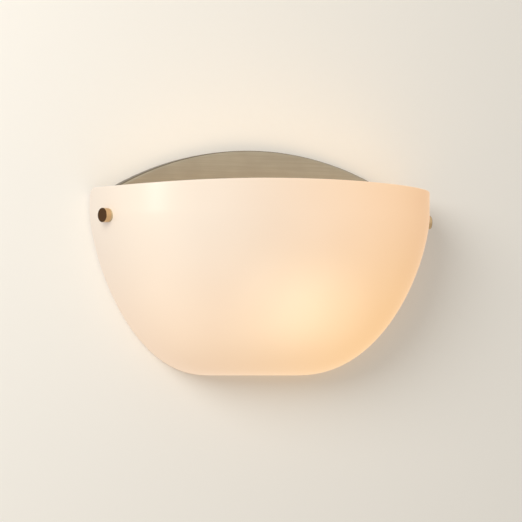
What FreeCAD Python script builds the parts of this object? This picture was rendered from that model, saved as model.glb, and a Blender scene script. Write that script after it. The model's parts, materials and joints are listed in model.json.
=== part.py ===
# Uplighter wall sconce: an opal glass pocket shade clamped by two side knobs in front of an
# arched metal backplate, with one lamp lying across the inside.
#
# Frame, in millimetres: the wall is the plane Y = 0 and the room is on the -Y side. +X is to the
# right as seen from the room, +Z is up. The origin is the centre of the wall box that the
# crossbar is screwed to.
import FreeCAD
import Part
import Sketcher
import math
import os
import re
from FreeCAD import Placement, Rotation, Vector

# ---------------------------------------------------------------------------------------------
# Driving dimensions. Each becomes one cell of the sheet, under this name.
SIZES = {
    # glass shade
    "shade_half_width": 165.0,      # centre to the outside, at the rim
    "shade_depth": 100.0,           # from its wall edges to the front, at the rim
    "shade_wall_gap": 2.0,          # between its wall edges and the wall
    "shade_glass": 4.0,             # thickness
    "shade_rim_height": 51.0,       # rim ends above the origin
    "shade_rim_arch": 8.0,          # rise of the rim from its ends to the middle
    "shade_band": 22.0,             # upright band under the rim ends
    "shade_foot_drop": 115.0,       # underside below the origin
    "shade_floor_half_width": 45.0,
    "shade_floor_depth": 12.0,
    "shade_corner_radius": 8.0,     # where the rim meets the wall edges
    "shade_hole_diameter": 8.0,
    # backplate
    "plate_above_rim": 37.0,        # crown of the arched top above the rim's ends
    "plate_arch_rise": 44.4,        # from its shoulders to its crown
    "plate_side_gap": 4.0,          # between its sides and the inside of the glass
    "plate_waist_drop": 2.0,        # where the upright sides turn inwards, below the origin
    "plate_waist_radius": 90.0,
    "plate_foot_gap": 26.0,         # between its lower edge and the underside of the glass
    "plate_foot_taper": 65.0,       # how far its lower corners stand in from its sides
    "plate_foot_radius": 14.0,
    "plate_corner_radius": 7.0,
    "plate_edge_radius": 2.4,
    "plate_depth": 10.0,
    "plate_sheet": 1.2,
    # crossbar behind the backplate
    "bar_length": 136.0,
    "bar_width": 20.0,
    "bar_sheet": 2.0,
    "bar_end_radius": 4.0,
    "slot_spacing": 80.0,           # centre to centre of the two slots
    "slot_length": 26.0,            # end to end
    "slot_width": 4.6,
    "fixing_spacing": 120.0,        # the two screws that hold the backplate
    "fixing_diameter": 4.0,
    "ground_offset": 18.0,
    "ground_diameter": 4.0,
    # insulation between the backplate and the bar
    "pad_width": 104.0,
    "pad_height": 84.0,
    "pad_thickness": 3.0,
    "pad_radius": 8.0,
    # grommet for the leads
    "grommet_height": 25.0,
    "grommet_bore": 8.0,
    "grommet_neck": 12.0,
    "grommet_flange": 17.0,
    "grommet_lip": 1.5,
    "grommet_snap": 0.6,            # how far the tail grips behind the sheet
    "grommet_tail": 1.6,
    # side arms
    "arm_width": 16.0,
    "arm_sheet": 1.6,
    "arm_foot": 24.0,
    "arm_rivet_inset": 14.0,
    "arm_end_radius": 7.0,
    "arm_foot_radius": 3.0,
    "arm_reach": 9.0,               # past the knob's axis
    "bend_radius": 2.6,             # outside of a bend; the inside is this less the sheet
    "rivet_pitch": 8.0,
    "rivet_diameter": 3.2,
    "rivet_head": 5.4,
    # clamping knobs
    "knob_below_rim": 25.5,         # axis below the rim's ends
    "knob_wall_distance": 33.0,     # off the wall, where its axis leaves the glass
    "knob_diameter": 12.7,
    "knob_length": 5.8,
    "knob_edge_radius": 0.7,
    "stud_diameter": 5.0,
    "stud_in_knob": 4.0,
    "stud_point": 0.6,              # bevel on its inner end
    "stud_past_arm": 2.0,
    "outer_washer": 1.2,
    "inner_washer": 1.5,
    "washer_diameter": 15.0,
    "bush_height": 6.0,
    "bush_diameter": 10.0,
    "bush_shank": 7.0,
    "bush_staking": 0.8,            # how far the shank is spread behind the arm
    # lampholder, lying along X
    "lamp_drop": 51.0,              # lamp axis below the origin
    "lamp_wall_distance": 43.0,     # lamp axis off the wall
    "holder_back": 80.0,            # back of the porcelain, left of the origin
    "holder_length": 42.0,
    "holder_base_diameter": 34.0,
    "holder_mouth_diameter": 42.0,
    "holder_bore": 28.0,
    "holder_base": 8.0,             # thickness of the porcelain behind the bore
    "holder_neck": 12.0,            # from its back to where it starts to swell
    "holder_swell": 20.0,           # from its back to where it is widest
    "holder_swell_radius": 6.0,
    "holder_rim_radius": 2.0,
    "shell_sheet": 0.5,
    "shell_height": 28.0,
    "shell_hole_diameter": 13.0,    # in its floor, round the centre contact
    "holder_screw_pitch": 22.0,
    "holder_screw_diameter": 3.0,
    "holder_screw_depth": 6.0,
    "lead_hole_pitch": 11.0,
    "lead_hole_diameter": 2.6,
    "bracket_width": 28.0,
    "bracket_sheet": 1.6,
    "bracket_foot": 21.0,
    "bracket_rivet_inset": 13.0,
    "bracket_reach": 15.0,          # past the lamp's axis
    "bracket_end_radius": 10.0,
    "bracket_hole_diameter": 16.0,
    "bracket_rivet_pitch": 16.0,
    # lamp
    "lamp_length": 108.0,
    "globe_diameter": 60.0,
    "lamp_neck_diameter": 26.4,
    "lamp_neck": 33.0,              # from the contact to where the neck starts to swell
    "lamp_swell_radius": 16.0,
    "lamp_glass": 1.0,
    "seal_depth": 6.0,              # how far the glass goes down into the cap
    "cap_diameter": 26.0,
    "cap_sheet": 0.4,
    "cap_start": 6.5,
    "cap_end": 27.0,
    "cap_crimp": 2.6,               # how far its foot is drawn in
    "contact_diameter": 9.0,
    "contact_height": 1.5,
    "contact_spring": 3.0,          # height of the holder's centre contact
    "stem_height": 52.0,            # from the lamp's contact
    "stem_diameter": 9.2,
    "stem_pinch_diameter": 5.8,
    "filament_height": 75.0,        # from the lamp's contact
    "filament_length": 27.0,
    "filament_diameter": 1.6,
    "lead_wire_diameter": 0.7,
    "lead_wire_spread": 1.5,        # at the stem, off the lamp's axis
    # clearances
    "screw_play": 0.05,             # between a screw's thread and its hole, on the radius
    "hole_play": 0.3,               # between a plain hole and what passes through, on the radius
    "shell_play": 0.1,              # between the lamp cap and the screw shell, on the radius
    "seat_gap": 0.2,                # between the glass and an outer washer
}

# Shape factors of the glass, which have no size.
PLAN_FULLNESS = 1.45       # weight of the conic's corner pole: 0.71 is an ellipse, more is squarer
WIDTH_POWER = 1.47         # how early the width falls away below the band
DEPTH_POWER = 1.80         # the same for the depth
FLOOR_POWER = 2.20         # how roundly the sides run into the floor
SECTION_COUNT = 13         # sections that the bowl is drawn through
TOOL_MARGIN = 10.0         # how far a cutting solid reaches past what it cuts, in millimetres

SHEET_NAME = "Sizes"
WALL_AXIS = Rotation(Vector(1, 0, 0), 90)       # turns local +Z to -Y, into the room
LAMP_AXIS = Rotation(Vector(0, 1, 0), 90)       # turns local +Z to +X, along the lamp

doc = FreeCAD.newDocument("wall_sconce")
sheet = doc.addObject("Spreadsheet::Sheet", SHEET_NAME)
slate = doc.addObject("Spreadsheet::Sheet", "Slate")        # for values that are only worked out
aliases = []


def note(alias, size):
    """Writes one size into the sheet, as plain text in a cell with an alias."""
    aliases.append(alias)
    row = len(aliases)
    sheet.set("A%d" % row, alias.replace("_", " "))
    sheet.set("B%d" % row, "%.9g" % size)
    sheet.setAlias("B%d" % row, alias)


for alias, size in SIZES.items():
    note(alias, size)
doc.recompute()


# ---------------------------------------------------------------------------------------------
# Helpers

def bound(formula):
    """The formula with each size's name written as its cell of the sheet."""
    def cell(match):
        word = match.group()
        return "%s.%s" % (SHEET_NAME, word) if word in aliases else word
    return re.sub(r"[a-z]\w*", cell, formula)


def number(formula):
    """The present value of a formula over the sheet's cells."""
    slate.set("A1", "=" + bound(formula))
    slate.recompute()
    return float(slate.get("A1"))


def bind(target, **formulas):
    """Ties properties of an object to formulas over the sheet's cells."""
    for name, formula in formulas.items():
        target.setExpression(name, bound(formula))


def new_body(name):
    body = doc.addObject("PartDesign::Body", name)
    body.Label = name
    return body


def new_sketch(body, name, role):
    """An empty sketch on one of the body's own origin planes."""
    sketch = body.newObject("Sketcher::SketchObject", name)
    plane = [item for item in body.Origin.OriginFeatures if item.Role == role][0]
    sketch.AttachmentSupport = [(plane, "")]
    sketch.MapMode = "FlatFace"
    return sketch


def add_arc(sketch, start, middle, end):
    """Draws an arc counter-clockwise. Gives its number, and which of its ends is the start."""
    if (middle - start).cross(end - middle).z > 0:
        return sketch.addGeometry(Part.Arc(start, middle, end)), 1
    return sketch.addGeometry(Part.Arc(end, middle, start)), 2


def bulge_middle(start, end, radius, centre_on_left):
    """The middle of the short arc of this radius from start to end."""
    chord = end - start
    side = Vector(-chord.y, chord.x, 0).normalize()
    if not centre_on_left:
        side = -side
    rise = math.sqrt(radius ** 2 - (chord.Length / 2) ** 2)
    return (start + end) / 2 + side * (rise - radius)


def outline(sketch, corners):
    """A closed outline through corners, in order.

    A corner is (x, y), (x, y, round) or (x, y, None, bulge): round is the radius that softens
    the corner, bulge is the radius of the arc that leads on to the next corner, with its centre
    on the left of the way, or on the right where the bulge starts with a minus.
    """
    count = len(corners)
    corners = [tuple(corner) + (None,) * (4 - len(corner)) for corner in corners]
    spots = [Vector(number(x), number(y), 0) for x, y, _, _ in corners]
    rules, ties = [], []

    def rule(kind, *places):
        rules.append(Sketcher.Constraint(kind, *places))

    def dimension(kind, formula, *places):
        ties.append((len(rules), formula))
        rule(kind, *places, number(formula))

    markers = []
    for (x, y, _, _), spot in zip(corners, spots):
        marker = sketch.addGeometry(Part.Point(spot), True)
        dimension("DistanceX", x, -1, 1, marker, 1)
        dimension("DistanceY", y, -1, 1, marker, 1)
        markers.append(marker)

    trims = []
    for index, (_, _, soft, _) in enumerate(corners):
        spot = spots[index]
        if soft is None:
            trims.append((spot, spot, None))
            continue
        back = (spots[index - 1] - spot).normalize()
        ahead = (spots[(index + 1) % count] - spot).normalize()
        half = back.getAngle(ahead) / 2
        radius = number(soft)
        centre = spot + (back + ahead).normalize() * (radius / math.sin(half))
        reach = radius / math.tan(half)
        middle = centre + (spot - centre).normalize() * radius
        trims.append((spot + back * reach, spot + ahead * reach, middle))

    edges = []
    for index, (_, _, _, bulge) in enumerate(corners):
        start = trims[index][1]
        end = trims[(index + 1) % count][0]
        if bulge is None:
            edges.append((sketch.addGeometry(Part.LineSegment(start, end)), 1, 2))
            continue
        size = bulge.lstrip("-")
        middle = bulge_middle(start, end, number(size), not bulge.startswith("-"))
        edge, first = add_arc(sketch, start, middle, end)
        edges.append((edge, first, 3 - first))
        dimension("Radius", size, edge)

    for index, (_, _, soft, _) in enumerate(corners):
        came, _, came_end = edges[index - 1]
        goes, goes_start, _ = edges[index]
        if soft is None:
            rule("Coincident", came, came_end, goes, goes_start)
            rule("Coincident", goes, goes_start, markers[index], 1)
            continue
        enter, leave, middle = trims[index]
        edge, first = add_arc(sketch, enter, middle, leave)
        rule("Tangent", came, came_end, edge, first)
        rule("Tangent", goes, goes_start, edge, 3 - first)
        dimension("Radius", soft, edge)
        rule("PointOnObject", markers[index], 1, came)
        rule("PointOnObject", markers[index], 1, goes)

    sketch.addConstraint(rules)
    for index, formula in ties:
        sketch.setExpression("Constraints[%d]" % index, bound(formula))


def turned(name, corners, placement=None):
    """A lathe-turned body: corners are (radius, height) about the local Z axis."""
    body = new_body(name)
    sketch = new_sketch(body, name + "_profile", "XZ_Plane")
    outline(sketch, corners)
    spin = body.newObject("PartDesign::Revolution", name + "_turn")
    spin.Profile = sketch
    spin.ReferenceAxis = (sketch, ["V_Axis"])
    spin.Angle = 360
    body.Tip = spin
    if placement is not None:
        body.Placement = placement
    return body


def padded(body, name, role, corners, length, midplane=False):
    """An outline on a plane of the body, given a thickness."""
    sketch = new_sketch(body, name + "_outline", role)
    outline(sketch, corners)
    pad = body.newObject("PartDesign::Pad", name)
    pad.Profile = sketch
    bind(pad, Length=length)
    pad.Midplane = midplane
    body.Tip = pad
    return pad


def drill(body, name, diameter, depth, spot, direction):
    """A round hole from a spot along a direction, through the body."""
    hole = body.newObject("PartDesign::SubtractiveCylinder", name)
    bind(hole, Radius="(%s) / 2" % diameter, Height=depth)
    hole.Placement = Placement(spot, Rotation(Vector(0, 0, 1), direction))
    body.Tip = hole
    return hole


def edges_where(shape, test):
    """Names of the edges that pass a test."""
    return ["Edge%d" % (n + 1) for n, edge in enumerate(shape.Edges) if test(edge)]


def rounded(body, name, edges, radius):
    """Rounds some edges of the body's last feature."""
    last = body.Tip
    fillet = body.newObject("PartDesign::Fillet", name)
    fillet.Base = (last, edges)
    bind(fillet, Radius=radius)
    body.Tip = fillet
    return fillet


def group(name, members):
    """Identical pieces that share one node, each a solid of its own."""
    node = doc.addObject("Part::Compound", name)
    node.Links = members
    node.Label = name
    return node


def shaped(name, shape):
    """A piece whose shape is given by a formula."""
    feature = doc.addObject("Part::Feature", name)
    feature.Shape = shape
    feature.Label = name
    return feature


# ---------------------------------------------------------------------------------------------
# The form of the glass, as one conic in plan whose width and depth change with the height.

def bowl_size(level, inset):
    """Half width and depth of the shade at a height, drawn in by the inset."""
    top = sheet.shade_rim_height - sheet.shade_band
    foot = inset - sheet.shade_foot_drop
    share = min(max((top - level) / (top - foot), 0.0), 1.0)
    width_left = max(1 - share ** WIDTH_POWER, 0.0) ** (1 / FLOOR_POWER)
    depth_left = max(1 - share ** DEPTH_POWER, 0.0) ** (1 / FLOOR_POWER)
    floor_width = sheet.shade_floor_half_width
    floor_depth = sheet.shade_floor_depth
    width = floor_width + (sheet.shade_half_width - inset - floor_width) * width_left
    depth = floor_depth + (sheet.shade_depth - inset - floor_depth) * depth_left
    return width, depth


def plan_poles(width, depth, level):
    """Poles of the plan: side, corner, front, corner, side."""
    edge = -sheet.shade_wall_gap
    plan = [(-1, 0), (-1, 1), (0, 1), (1, 1), (1, 0)]
    return [Vector(width * x, edge - depth * y, level) for x, y in plan]


PLAN_WEIGHTS = [1, PLAN_FULLNESS, 1, PLAN_FULLNESS, 1]
PLAN_KNOTS = [0, 0.5, 1]
PLAN_MULTIPLICITIES = [3, 2, 3]


def plan_curve(level, inset=0.0):
    """The plan of the shade at a height, from its left wall edge to its right one."""
    width, depth = bowl_size(level, inset)
    curve = Part.BSplineCurve()
    curve.buildFromPolesMultsKnots(plan_poles(width, depth, level), PLAN_MULTIPLICITIES,
                                   PLAN_KNOTS, False, 2, PLAN_WEIGHTS)
    return curve


def bowl_surface(inset):
    """The side of the shade from the foot of its band to its floor, as one smooth surface."""
    top = sheet.shade_rim_height - sheet.shade_band
    foot = inset - sheet.shade_foot_drop
    stations = []
    for step in range(SECTION_COUNT):
        swing = math.radians(90.0 * step / (SECTION_COUNT - 1))
        level = top - (top - foot) * math.sin(swing) ** (2 / WIDTH_POWER)
        width, depth = bowl_size(level, inset)
        stations.append(Vector(width, depth, level))
    last = stations[-1] - stations[-2]
    side = Part.BSplineCurve()
    side.interpolate(Points=stations, InitialTangent=Vector(0, 0, -1),
                     FinalTangent=Vector(last.x, last.y, 0).normalize())
    rows = [plan_poles(pole.x, pole.y, pole.z) for pole in side.getPoles()]
    poles = [list(column) for column in zip(*rows)]
    weights = [[weight] * len(rows) for weight in PLAN_WEIGHTS]
    surface = Part.BSplineSurface()
    surface.buildFromPolesMultsKnots(poles, PLAN_MULTIPLICITIES, side.getMultiplicities(),
                                     PLAN_KNOTS, side.getKnots(), False, False, 2, side.Degree,
                                     weights)
    return surface


def shade_form(inset, top, back):
    """A closed solid in the form of the shade, drawn in by the inset.

    It is flat on top at this height. Its sides run straight on from the wall edges to this Y.
    """
    edge = -sheet.shade_wall_gap
    bowl_top = sheet.shade_rim_height - sheet.shade_band
    foot = inset - sheet.shade_foot_drop
    width, _ = bowl_size(bowl_top, inset)
    floor_width, _ = bowl_size(foot, inset)
    brim = plan_curve(bowl_top, inset).toShape()
    bowl = bowl_surface(inset).toShape()
    band = brim.extrude(Vector(0, 0, top - bowl_top))
    rim_line = Part.makeLine(Vector(-width, edge, top), Vector(width, edge, top))
    foot_line = Part.makeLine(Vector(-floor_width, edge, foot), Vector(floor_width, edge, foot))
    lid = Part.Face(Part.Wire([brim.translated(Vector(0, 0, top - bowl_top)), rim_line]))
    sole = Part.Face(Part.Wire([plan_curve(foot, inset).toShape(), foot_line]))

    def in_wall_plane(piece):
        low, high = piece.ParameterRange
        ends = [piece.valueAt(spot) for spot in (low, (low + high) / 2, high)]
        return all(abs(spot.y - edge) < 1e-6 for spot in ends)

    sides = [piece for piece in bowl.Edges + band.Edges if in_wall_plane(piece)]
    rear = Part.Face(Part.Wire(Part.__sortEdges__(sides + [rim_line, foot_line])))
    skin = Part.Shell([bowl, band, lid, sole, rear])
    skin.sewShape()
    form = Part.Solid(skin)
    if form.Volume < 0:
        form.reverse()
    if back > edge:
        form = form.fuse(rear.extrude(Vector(0, back - edge, 0)))
    return form


def knob_seat(height):
    """Where the knob's axis leaves the glass on the right, and the outward normal there."""
    _, depth = bowl_size(height, 0.0)
    share = (sheet.knob_wall_distance - sheet.shade_wall_gap) / depth
    full = PLAN_FULLNESS
    square = 1 - 2 * full + 2 * share * (full - 1)
    linear = 2 * full - 2 * share * (full - 1)
    swing = (-linear + math.sqrt(linear ** 2 + 4 * square * share)) / (2 * square)
    curve = plan_curve(height)
    place = 1 - swing / 2
    spot = curve.value(place)
    along = curve.tangent(place)[0]
    normal = Vector(abs(along.y), -abs(along.x), 0).normalize()
    return spot, normal


KNOB_HEIGHT = "(shade_rim_height - knob_below_rim)"
SEAT, NORMAL = knob_seat(number(KNOB_HEIGHT))
note("seat_across", SEAT.x)
note("arm_lean", math.degrees(math.atan2(-NORMAL.y, NORMAL.x)))
doc.recompute()


def mirrored(vector, side):
    """The vector on the right side (+1) or its mirror image on the left (-1)."""
    return Vector(side * vector.x, vector.y, vector.z)


def knob_place(side, out=0.0):
    """Placement that turns local +Z outwards along a knob's axis, this far off the glass."""
    normal = mirrored(NORMAL, side)
    return Placement(mirrored(SEAT, side) + normal * out, Rotation(Vector(0, 0, 1), normal))


# ---------------------------------------------------------------------------------------------
# Glass shade: a D-shaped pocket of even thickness, open at the top and at the wall.

def glass_shade():
    rim, arch = sheet.shade_rim_height, sheet.shade_rim_arch
    half, over = sheet.shade_half_width, TOOL_MARGIN
    hollow = shade_form(sheet.shade_glass, rim + arch + 2 * over, over)
    glass = shade_form(0.0, rim + arch + over, -sheet.shade_wall_gap).cut(hollow)

    # the rim rises in one arc from its ends to the middle
    ends = [Vector(-half, 0, rim), Vector(half, 0, rim)]
    arc = Part.Arc(ends[0], Vector(0, 0, rim + arch), ends[1]).toShape()
    tops = [Vector(half, 0, rim + 3 * over), Vector(-half, 0, rim + 3 * over)]
    tops = [top + Vector(over * (1 if top.x > 0 else -1), 0, 0) for top in tops]
    sides = [Vector(spot.x, 0, rim) for spot in tops]
    trimming = Part.Wire([arc] + [Part.makeLine(a, b) for a, b in (
        (ends[1], sides[0]), (sides[0], tops[0]), (tops[0], tops[1]), (tops[1], sides[1]),
        (sides[1], ends[0]))])
    reach = sheet.shade_depth + over
    glass = glass.cut(Part.Face(trimming).extrude(Vector(0, -reach, 0)))

    # the corners where the rim meets the wall edges are rounded
    soft = sheet.shade_corner_radius
    block = Part.makeBox(2 * (half + over), soft + over, soft + over,
                         Vector(-half - over, -sheet.shade_wall_gap - soft, rim - soft))
    corner = Part.makeCylinder(soft, 2 * (half + over),
                               Vector(-half - over, -sheet.shade_wall_gap - soft, rim - soft),
                               Vector(1, 0, 0))
    glass = glass.cut(block.cut(corner))

    # one hole each side for the knob's stud
    for side in (-1, 1):
        place = knob_place(side, over)
        bore = Part.makeCylinder(sheet.shade_hole_diameter / 2, 3 * over, place.Base,
                                 mirrored(NORMAL, side) * -1)
        glass = glass.cut(bore)
    return glass.Solids[0]


shaped("glass_shade", glass_shade())


# ---------------------------------------------------------------------------------------------
# Backplate: a shallow pressed pan with an arched top, open towards the wall.

PLATE_HALF_WIDTH = "(shade_half_width - shade_glass - plate_side_gap)"
PLATE_FOOT = "(plate_foot_gap - shade_foot_drop)"
PLATE_FOOT_HALF_WIDTH = "(%s - plate_foot_taper)" % PLATE_HALF_WIDTH
PLATE_SHOULDER = "(shade_rim_height + plate_above_rim - plate_arch_rise)"
PLATE_ARC_RADIUS = "((%s ^ 2 + plate_arch_rise ^ 2) / (2 * plate_arch_rise))" % PLATE_HALF_WIDTH

# The faces of a side arm, which stands at a lean so that it is square to the glass at the knob.
ARM_OUTER = "(shade_glass + inner_washer + bush_height)"
ARM_INNER = "(shade_glass + inner_washer + bush_height + arm_sheet)"


def arm_face(depth, out):
    """Formula for X where an arm's face, this deep inside the glass, is this far off the wall."""
    stand = "(knob_wall_distance - %s * sin(arm_lean))" % depth
    return "(seat_across - %s * cos(arm_lean) + (%s - %s) * tan(arm_lean))" % (depth, stand, out)


ARM_OUTER_HEEL = arm_face(ARM_OUTER, "plate_depth")
ARM_INNER_HEEL = arm_face(ARM_INNER, "(plate_depth + arm_sheet)")


def backplate():
    body = new_body("backplate")
    left = "-" + PLATE_HALF_WIDTH
    pad = padded(body, "pressing", "XZ_Plane", [
        (PLATE_HALF_WIDTH, PLATE_SHOULDER, None, PLATE_ARC_RADIUS),
        (left, PLATE_SHOULDER),
        (left, "-plate_waist_drop", "plate_waist_radius"),
        ("-" + PLATE_FOOT_HALF_WIDTH, PLATE_FOOT, "plate_foot_radius"),
        (PLATE_FOOT_HALF_WIDTH, PLATE_FOOT, "plate_foot_radius"),
        (PLATE_HALF_WIDTH, "-plate_waist_drop", "plate_waist_radius"),
    ], "plate_depth")
    doc.recompute()
    shoulder = number(PLATE_SHOULDER)

    def at_shoulder(edge):
        centre = edge.CenterOfMass
        upright = abs(edge.BoundBox.YLength - sheet.plate_depth) < 1e-6
        return upright and abs(centre.z - shoulder) < 1e-3
    rounded(body, "shoulders", edges_where(pad.Shape, at_shoulder), "plate_corner_radius")
    doc.recompute()

    def on_front(edge):
        return abs(edge.BoundBox.YMin + sheet.plate_depth) < 1e-6 and edge.BoundBox.YLength < 1e-6
    rounded(body, "front_edge", edges_where(body.Tip.Shape, on_front), "plate_edge_radius")
    doc.recompute()

    last = body.Tip
    rear = ["Face%d" % (n + 1) for n, face in enumerate(last.Shape.Faces)
            if abs(face.BoundBox.YMax) < 1e-6 and face.BoundBox.YLength < 1e-6]
    hollow = body.newObject("PartDesign::Thickness", "hollow")
    hollow.Base = (last, rear)
    bind(hollow, Value="plate_sheet")
    hollow.Reversed = True
    hollow.Join = 0
    body.Tip = hollow
    doc.recompute()

    front = Vector(0, -sheet.plate_depth - sheet.plate_sheet, 0)
    through = Vector(0, 1, 0)
    fixing = sheet.fixing_spacing / 2
    for side in (-1, 1):
        drill(body, "fixing_hole", "fixing_diameter + 2 * hole_play", "plate_depth",
              front + Vector(side * fixing, 0, 0), through)
        for lift in (-1, 1):
            drill(body, "arm_rivet_hole", "rivet_diameter", "plate_depth",
                  front + arm_rivet_spot(side, lift), through)
    drill(body, "grommet_hole", "grommet_neck", "plate_depth",
          front + Vector(0, 0, sheet.grommet_height), through)
    for lift in (-1, 1):
        drill(body, "bracket_rivet_hole", "rivet_diameter", "plate_depth",
              front + bracket_rivet_spot(lift), through)
    return body


def arm_rivet_spot(side, lift):
    """Rivet centre in the wall plane, upper (+1) or lower (-1)."""
    across = number("%s - arm_rivet_inset" % ARM_OUTER_HEEL)
    return Vector(side * across, 0, SEAT.z + lift * sheet.rivet_pitch / 2)


def bracket_rivet_spot(lift):
    """Rivet centre in the wall plane, upper (+1) or lower (-1)."""
    across = -sheet.holder_back - sheet.bracket_rivet_inset
    return Vector(across, 0, -sheet.lamp_drop + lift * sheet.bracket_rivet_pitch / 2)


backplate()


# ---------------------------------------------------------------------------------------------
# Behind the backplate: crossbar, insulation and grommet.

def slot(body, name, centre_across):
    """A slot along X through a strip that lies on the wall plane."""
    run = (sheet.slot_length - sheet.slot_width) / 2
    box = body.newObject("PartDesign::SubtractiveBox", name)
    bind(box, Length="slot_length - slot_width", Width="2 * bar_sheet", Height="slot_width")
    box.Placement.Base = Vector(centre_across - run, -1.5 * sheet.bar_sheet, -sheet.slot_width / 2)
    body.Tip = box
    for end in (-1, 1):
        spot = Vector(centre_across + end * run, -1.5 * sheet.bar_sheet, 0)
        drill(body, name + "_end", "slot_width", "2 * bar_sheet", spot, Vector(0, 1, 0))


def crossbar():
    body = new_body("crossbar")
    half, high = "bar_length / 2", "bar_width / 2"
    padded(body, "strip", "XZ_Plane", [
        ("-%s" % half, "-%s" % high, "bar_end_radius"), (half, "-%s" % high, "bar_end_radius"),
        (half, high, "bar_end_radius"), ("-%s" % half, high, "bar_end_radius"),
    ], "bar_sheet")
    front = Vector(0, -1.5 * sheet.bar_sheet, 0)
    for side in (-1, 1):
        slot(body, "slot", side * sheet.slot_spacing / 2)
        drill(body, "fixing_thread", "fixing_diameter + 2 * screw_play", "2 * bar_sheet",
              front + Vector(side * sheet.fixing_spacing / 2, 0, 0), Vector(0, 1, 0))
    drill(body, "ground_thread", "ground_diameter + 2 * screw_play", "2 * bar_sheet",
          front + Vector(sheet.ground_offset, 0, 0), Vector(0, 1, 0))
    return body


def insulation_pad():
    body = new_body("insulation_pad")
    half, high = "pad_width / 2", "pad_height / 2"
    padded(body, "blanket", "XZ_Plane", [
        ("-%s" % half, "-%s" % high, "pad_radius"), (half, "-%s" % high, "pad_radius"),
        (half, high, "pad_radius"), ("-%s" % half, high, "pad_radius"),
    ], "pad_thickness")
    drill(body, "grommet_room", "grommet_neck + 2 * (grommet_snap + hole_play)",
          "2 * pad_thickness",
          Vector(0, -1.5 * sheet.pad_thickness, sheet.grommet_height), Vector(0, 1, 0))
    body.setExpression("Placement.Base.y", bound("pad_thickness + plate_sheet - plate_depth"))
    return body


def grommet():
    bore, neck, flange = "grommet_bore / 2", "grommet_neck / 2", "grommet_flange / 2"
    tail = "-plate_sheet - grommet_tail"
    body = turned("lead_grommet", [
        (bore, tail), (neck, tail), ("%s + grommet_snap" % neck, "-plate_sheet"),
        (neck, "-plate_sheet"), (neck, "0"), (flange, "0"),
        ("%s - grommet_lip" % flange, "grommet_lip"), (bore, "grommet_lip"),
    ])
    body.Placement = Placement(Vector(0, -sheet.plate_depth, sheet.grommet_height), WALL_AXIS)
    return body


# Proportions of a pan head, as shares of its screw's diameter.
PAN_HEAD_HEIGHT = 0.6
PAN_HEAD_TOP = 0.8          # radius of the flat top; the head is twice as wide as the thread


def screw(name, diameter, length, placement):
    """A pan-head screw with its head on local Z = 0 and its shank going down from there."""
    thread = "%s / 2" % diameter
    high = "%s * %s" % (PAN_HEAD_HEIGHT, diameter)
    return turned(name, [
        ("0", "-(%s)" % length), (thread, "-(%s)" % length), (thread, "0"), (diameter, "0"),
        ("%s * %s" % (PAN_HEAD_TOP, diameter), high), ("0", high),
    ], placement)


def wall_spot(across, out, up):
    """Placement of a turned piece whose local +Z points into the room."""
    return Placement(Vector(across, -out, up), WALL_AXIS)


crossbar()
insulation_pad()
grommet()
screw("ground_screw", "ground_diameter", "bar_sheet",
      wall_spot(sheet.ground_offset, sheet.bar_sheet, 0))
group("backplate_screws", [
    screw("backplate_screw", "fixing_diameter", "plate_depth",
          wall_spot(side * sheet.fixing_spacing / 2, sheet.plate_depth, 0)) for side in (-1, 1)])


# ---------------------------------------------------------------------------------------------
# Side arms, riveted to the backplate, with a threaded bush in each.

# Proportions of a rivet, as shares of its shank's diameter and, for widths, of its head.
RIVET_HEAD_HEIGHT = 0.45
RIVET_HEAD_TOP = 0.7
RIVET_TAIL_HEIGHT = 0.3
RIVET_TAIL_WIDTH = 0.8


def rivet(name, sheet_name, placement):
    """A rivet: its head on local Z = 0, upset behind the backplate."""
    shank, head = "rivet_diameter / 2", "rivet_head / 2"
    behind = "-(%s + plate_sheet)" % sheet_name
    tail = "%s - %s * rivet_diameter" % (behind, RIVET_TAIL_HEIGHT)
    upset = "%s * %s" % (RIVET_TAIL_WIDTH, head)
    high = "%s * rivet_diameter" % RIVET_HEAD_HEIGHT
    return turned(name, [
        ("0", tail), (upset, tail), (upset, behind), (shank, behind), (shank, "0"), (head, "0"),
        ("%s * %s" % (RIVET_HEAD_TOP, head), high), ("0", high),
    ], placement)


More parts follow.
